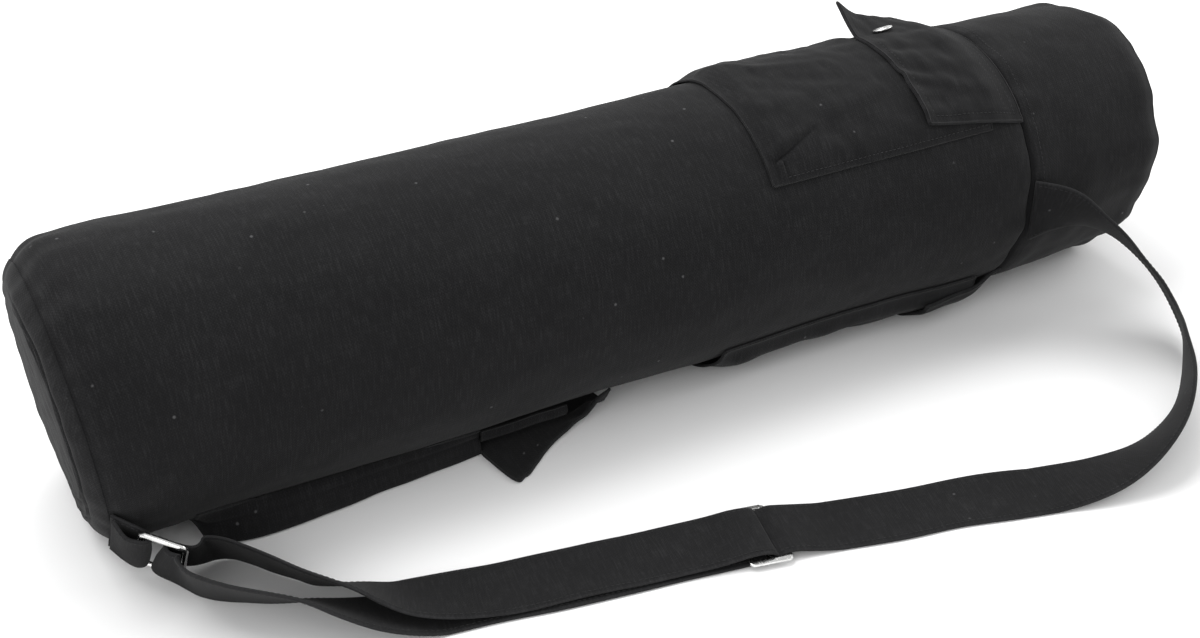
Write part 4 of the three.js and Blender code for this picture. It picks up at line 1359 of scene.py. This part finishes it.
# %% The strap
STRAP_THREAD = 0.36
strap_canvas = woven("black strap canvas", threads=1300.0, relief=0.3, lint=0.7)
over_slider = SLIDER_Z + SLIDER_THICK / 2 + 0.5 + STRAP_THICK / 2
strap_bar, tab_bar = RING_WIDTH / 2, -RING_WIDTH / 2
at_seam = np.array([SEAM_X + 0.5, -(RADIUS + 0.5 + STRAP_THICK / 2), AXIS_Z - 2.0])
strap_stations = [
    at_slider(SLIDER_BAR / 2 + 2.4, SLIDER_Z - 0.8),
    at_slider(SLIDER_BAR / 2 + 2.6, SLIDER_Z + 0.6),
    at_slider(SLIDER_BAR / 2 + 0.9, over_slider),
    at_slider(-SLIDER_WIDTH / 2 + WIRE, over_slider + 0.5),
    at_slider(-SLIDER_WIDTH / 2 - 2.5 * WIRE, over_slider * 0.8 + 3.5 * 0.2),
    *route(FAR_ROUTE)[::-1],
    held(strap_bar + WIRE, AROUND_WIRE + 1.2, 25.0, lower=-3.5),
    held(strap_bar - 2 * WIRE, AROUND_WIRE, 28.0, slant=0.05, lower=-1.5),
    held(strap_bar - 4 * WIRE, 0.6 * AROUND_WIRE, 32.0, slant=0.15, lower=0.5),
    held(strap_bar - 4.2 * WIRE, -0.6 * AROUND_WIRE, 33.0, slant=0.2, lower=1.0),
    held(strap_bar - 2.4 * WIRE, -AROUND_WIRE - 0.8, 35.0, slant=0.12, lower=0.5),
    held(strap_bar - 0.3 * WIRE, -AROUND_WIRE - 1.8, 38.0, slant=0.0, lower=-2.0),
    *route(NEAR_ROUTE),
    at_slider(-SLIDER_WIDTH / 2, STRAP_THICK / 2),
    at_slider(SLIDER_BAR / 2, STRAP_THICK / 2),
    at_slider(SLIDER_BAR / 2 + 4.4, SLIDER_Z),
    at_slider(SLIDER_WIDTH / 2 - SLIDER_BAR / 2, over_slider + 0.2),
    at_slider(SLIDER_WIDTH / 2 + 2.4 * WIRE, SLIDER_Z + 1.0),
    *route(LONG_ROUTE),
    (at_seam, np.array([0, 0, 1.0]), STRAP_WIDTH),
]
strap, strap_lines = band("canvas_strap", strap_stations, STRAP_THICK, gap=1.4, smoothing=8, seed=100)
show(strap, strap_canvas, "strap", slot="webbing")
stitched("stitches_strap", strap_lines, STRAP_THREAD)

# %% [markdown]
# ## The tab
# A loop of the same band is caught in the bottom seam and holds the ring.

# %% The tab
TAB_ANGLE = 122.5
TAB_WIDE = 35.0


def tab_end(off):
    # Where the tab leaves the bottom seam, with its width along the seam
    a = math.radians(TAB_ANGLE)
    x = BOTTOM_X + 2.3
    r = RADIUS * 0.953 + off
    z = AXIS_Z - 1.5 + r * math.cos(a)
    centre = np.array([x - math.tan(math.radians(3.5)) * (z - AXIS_Z), -r * math.sin(a), z])
    return centre, np.array([0, math.cos(a), math.sin(a)]), STRAP_WIDTH


tab_stations = [
    tab_end(4.5),
    held(tab_bar - 2 * WIRE, -AROUND_WIRE - 0.5),
    held(tab_bar, -AROUND_WIRE - 0.4, TAB_WIDE, lower=1.5),
    held(tab_bar + 1.1 * AROUND_WIRE, -0.75 * AROUND_WIRE, TAB_WIDE, lower=1.5),
    held(tab_bar + 1.5 * AROUND_WIRE, 0, TAB_WIDE, lower=1.5),
    held(tab_bar + 1.1 * AROUND_WIRE, 0.75 * AROUND_WIRE, TAB_WIDE - 1, lower=1.0),
    held(tab_bar, AROUND_WIRE, TAB_WIDE - 1, lower=1.0),
    tab_end(2.0),
]
tab, tab_lines = band("canvas_strap_tab", tab_stations, STRAP_THICK, gap=0.8, smoothing=3, seed=200)
show(tab, strap_canvas, "strap_tab", slot="webbing")
stitched("stitches_tab", tab_lines, STRAP_THREAD)

# %% [markdown]
# ## The ring
# The ring is bent from round wire, so a circle follows a rounded rectangle. A bevelled curve
# would do too, but a mesh of its own lies straight in the ring's frame.


# %% Ring
def rounded_loop(width, height, corner, turns):
    out = []
    for k in range(4):
        sx, sy = (1 if k in (0, 3) else -1), (1 if k < 2 else -1)
        for t in range(turns + 1):
            a = math.pi / 2 * (k + t / turns)
            centre = np.array([sx * (width / 2 - corner), sy * (height / 2 - corner)])
            facing_out = np.array([math.cos(a), math.sin(a)])
            out.append((centre + facing_out * corner, facing_out))
    return out


def wire_ring(name, width, height, corner, sides=20):
    loop = rounded_loop(width, height, corner, 8)
    points, faces = [], []
    for at, out in loop:
        for a in np.linspace(0, 2 * math.pi, sides, endpoint=False):
            flat = at + out * WIRE / 2 * math.cos(a)
            points.append(ring_at + ring_x * flat[0] + ring_y * flat[1] + ring_z * WIRE / 2 * math.sin(a))
    for i in range(len(loop)):
        a, b = i * sides, (i + 1) % len(loop) * sides
        for j in range(sides):
            n = (j + 1) % sides
            faces.append((a + j, b + j, b + n, a + n))
    return build(name, np.array(points), faces, np.zeros((len(points), 2)))


ring = wire_ring("metal_ring", RING_WIDTH, RING_LONG, WIRE)
show(ring, metal, "strap_ring", slot="nickel")

# %% [markdown]
# ## The slider
# A flat curve is a quick way to cut holes in a plate: its outer outline and the two slots are
# closed lines, and Blender fills what is between them. The strap goes through both slots.

# %% Slider
SLIDER_LONG = STRAP_WIDTH + 2 * SLIDER_BAR + 1.0
plate = bpy.data.curves.new("slider outline", "CURVE")
plate.dimensions = "2D"
plate.fill_mode = "BOTH"
slot_wide = (SLIDER_WIDTH - 3 * SLIDER_BAR) / 2
outlines = [(0.0, SLIDER_WIDTH, SLIDER_LONG, 3.0)]
slot_place, slot_long = (slot_wide + SLIDER_BAR) / 2, SLIDER_LONG - 2 * SLIDER_BAR
outlines += [(way * slot_place, slot_wide, slot_long, 1.0) for way in (-1, 1)]
for shift, wide, tall, corner in outlines:
    spline = plate.splines.new("POLY")
    loop = rounded_loop(wide, tall, corner, 5)
    spline.points.add(len(loop) - 1)
    for point, (at, _) in zip(spline.points, loop):
        point.co = ((at[0] + shift) * MM, at[1] * MM, 0, 1)
    spline.use_cyclic_u = True
BEVEL = 0.35
plate.extrude = (SLIDER_THICK / 2 - BEVEL) * MM
plate.bevel_depth = BEVEL * MM
plate.bevel_resolution = 2
plate.offset = -BEVEL * MM
flat_plate = placed("slider plate", plate)
bpy.context.view_layer.update()
mesh = bpy.data.meshes.new_from_object(flat_plate)
bpy.data.objects.remove(flat_plate)
slider = placed("metal_slider", mesh)
lying = Matrix.Translation(Vector(slider_at * MM) + Vector((0, 0, SLIDER_Z * MM)))
mesh.transform(lying @ Matrix.Rotation(slider_turn, 4, "Z"))
mesh.materials.clear()
show(slider, metal, "strap_slider", slot="nickel")

# %% [markdown]
# ## The camera
# The lens and the place come from the bag's own perspective: the ends of the tube show how near
# the camera was.

# %% Camera
camera_data = bpy.data.cameras.new("camera")
camera_data.sensor_fit = "HORIZONTAL"
camera_data.sensor_width = 36.0
camera_data.lens = 53.82
camera_data.clip_start = 0.01
camera = placed("camera", camera_data)
camera.location = (-0.4539, -0.7979, 0.5922)
camera.rotation_euler = (math.radians(90 - 31.745), 0, math.radians(-28.54))
bpy.context.scene.camera = camera
print("camera", [round(v, 3) for v in camera.location])

# %% [markdown]
# ## Light and floor
# The light is a large soft box above and behind, with weaker ones in front and at the right, so
# that the black cloth shows its form in grey on the upper side. The floor is plain and pale.

# %% Light and floor
REACH = 6.0
floor_mesh = bpy.data.meshes.new("floor")
corners = [(-REACH, -REACH, 0), (REACH, -REACH, 0), (REACH, REACH, 0), (-REACH, REACH, 0)]
floor_mesh.from_pydata(corners, [], [(0, 1, 2, 3)])
floor = placed("floor", floor_mesh)
floor_mesh.materials.append(principled("floor paint", Base_Color=(0.93, 0.93, 0.93, 1), Roughness=0.9)[0])
floor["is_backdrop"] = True


def soft_box(name, place, aim, size, power):
    data = bpy.data.lights.new(name, "AREA")
    data.shape = "RECTANGLE"
    data.size, data.size_y = size
    data.energy = power
    lamp = placed(name, data)
    lamp.location = place
    lamp.rotation_euler = (Vector(aim) - Vector(place)).to_track_quat("-Z", "Y").to_euler()


soft_box("overhead box", (-0.3, 0.9, 2.0), (0, 0, 0.05), (2.4, 1.4), 46)
soft_box("front box", (-1.6, -1.6, 1.3), (0, 0, 0.05), (1.6, 1.2), 14)
soft_box("right box", (1.9, -0.5, 1.2), (0.1, 0, 0.05), (1.2, 1.0), 10)
sky = bpy.data.worlds.new("white room")
sky.use_nodes = True
background = sky.node_tree.nodes["Background"]
background.inputs["Color"].default_value = (1, 1, 1, 1)
background.inputs["Strength"].default_value = 0.75
bpy.context.scene.world = sky
bpy.context.scene.view_settings.view_transform = "Standard"

# %% [markdown]
# ## The size of the dressed bag
# The model's box and the dressed bag's box are both worked out. The dressed bag has to
# keep the model's size.

# %% Finish
boxes = {"cad": cad_box, "visual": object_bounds()}
boxes = {name: [[float(v) for v in corner] for corner in box] for name, box in boxes.items()}
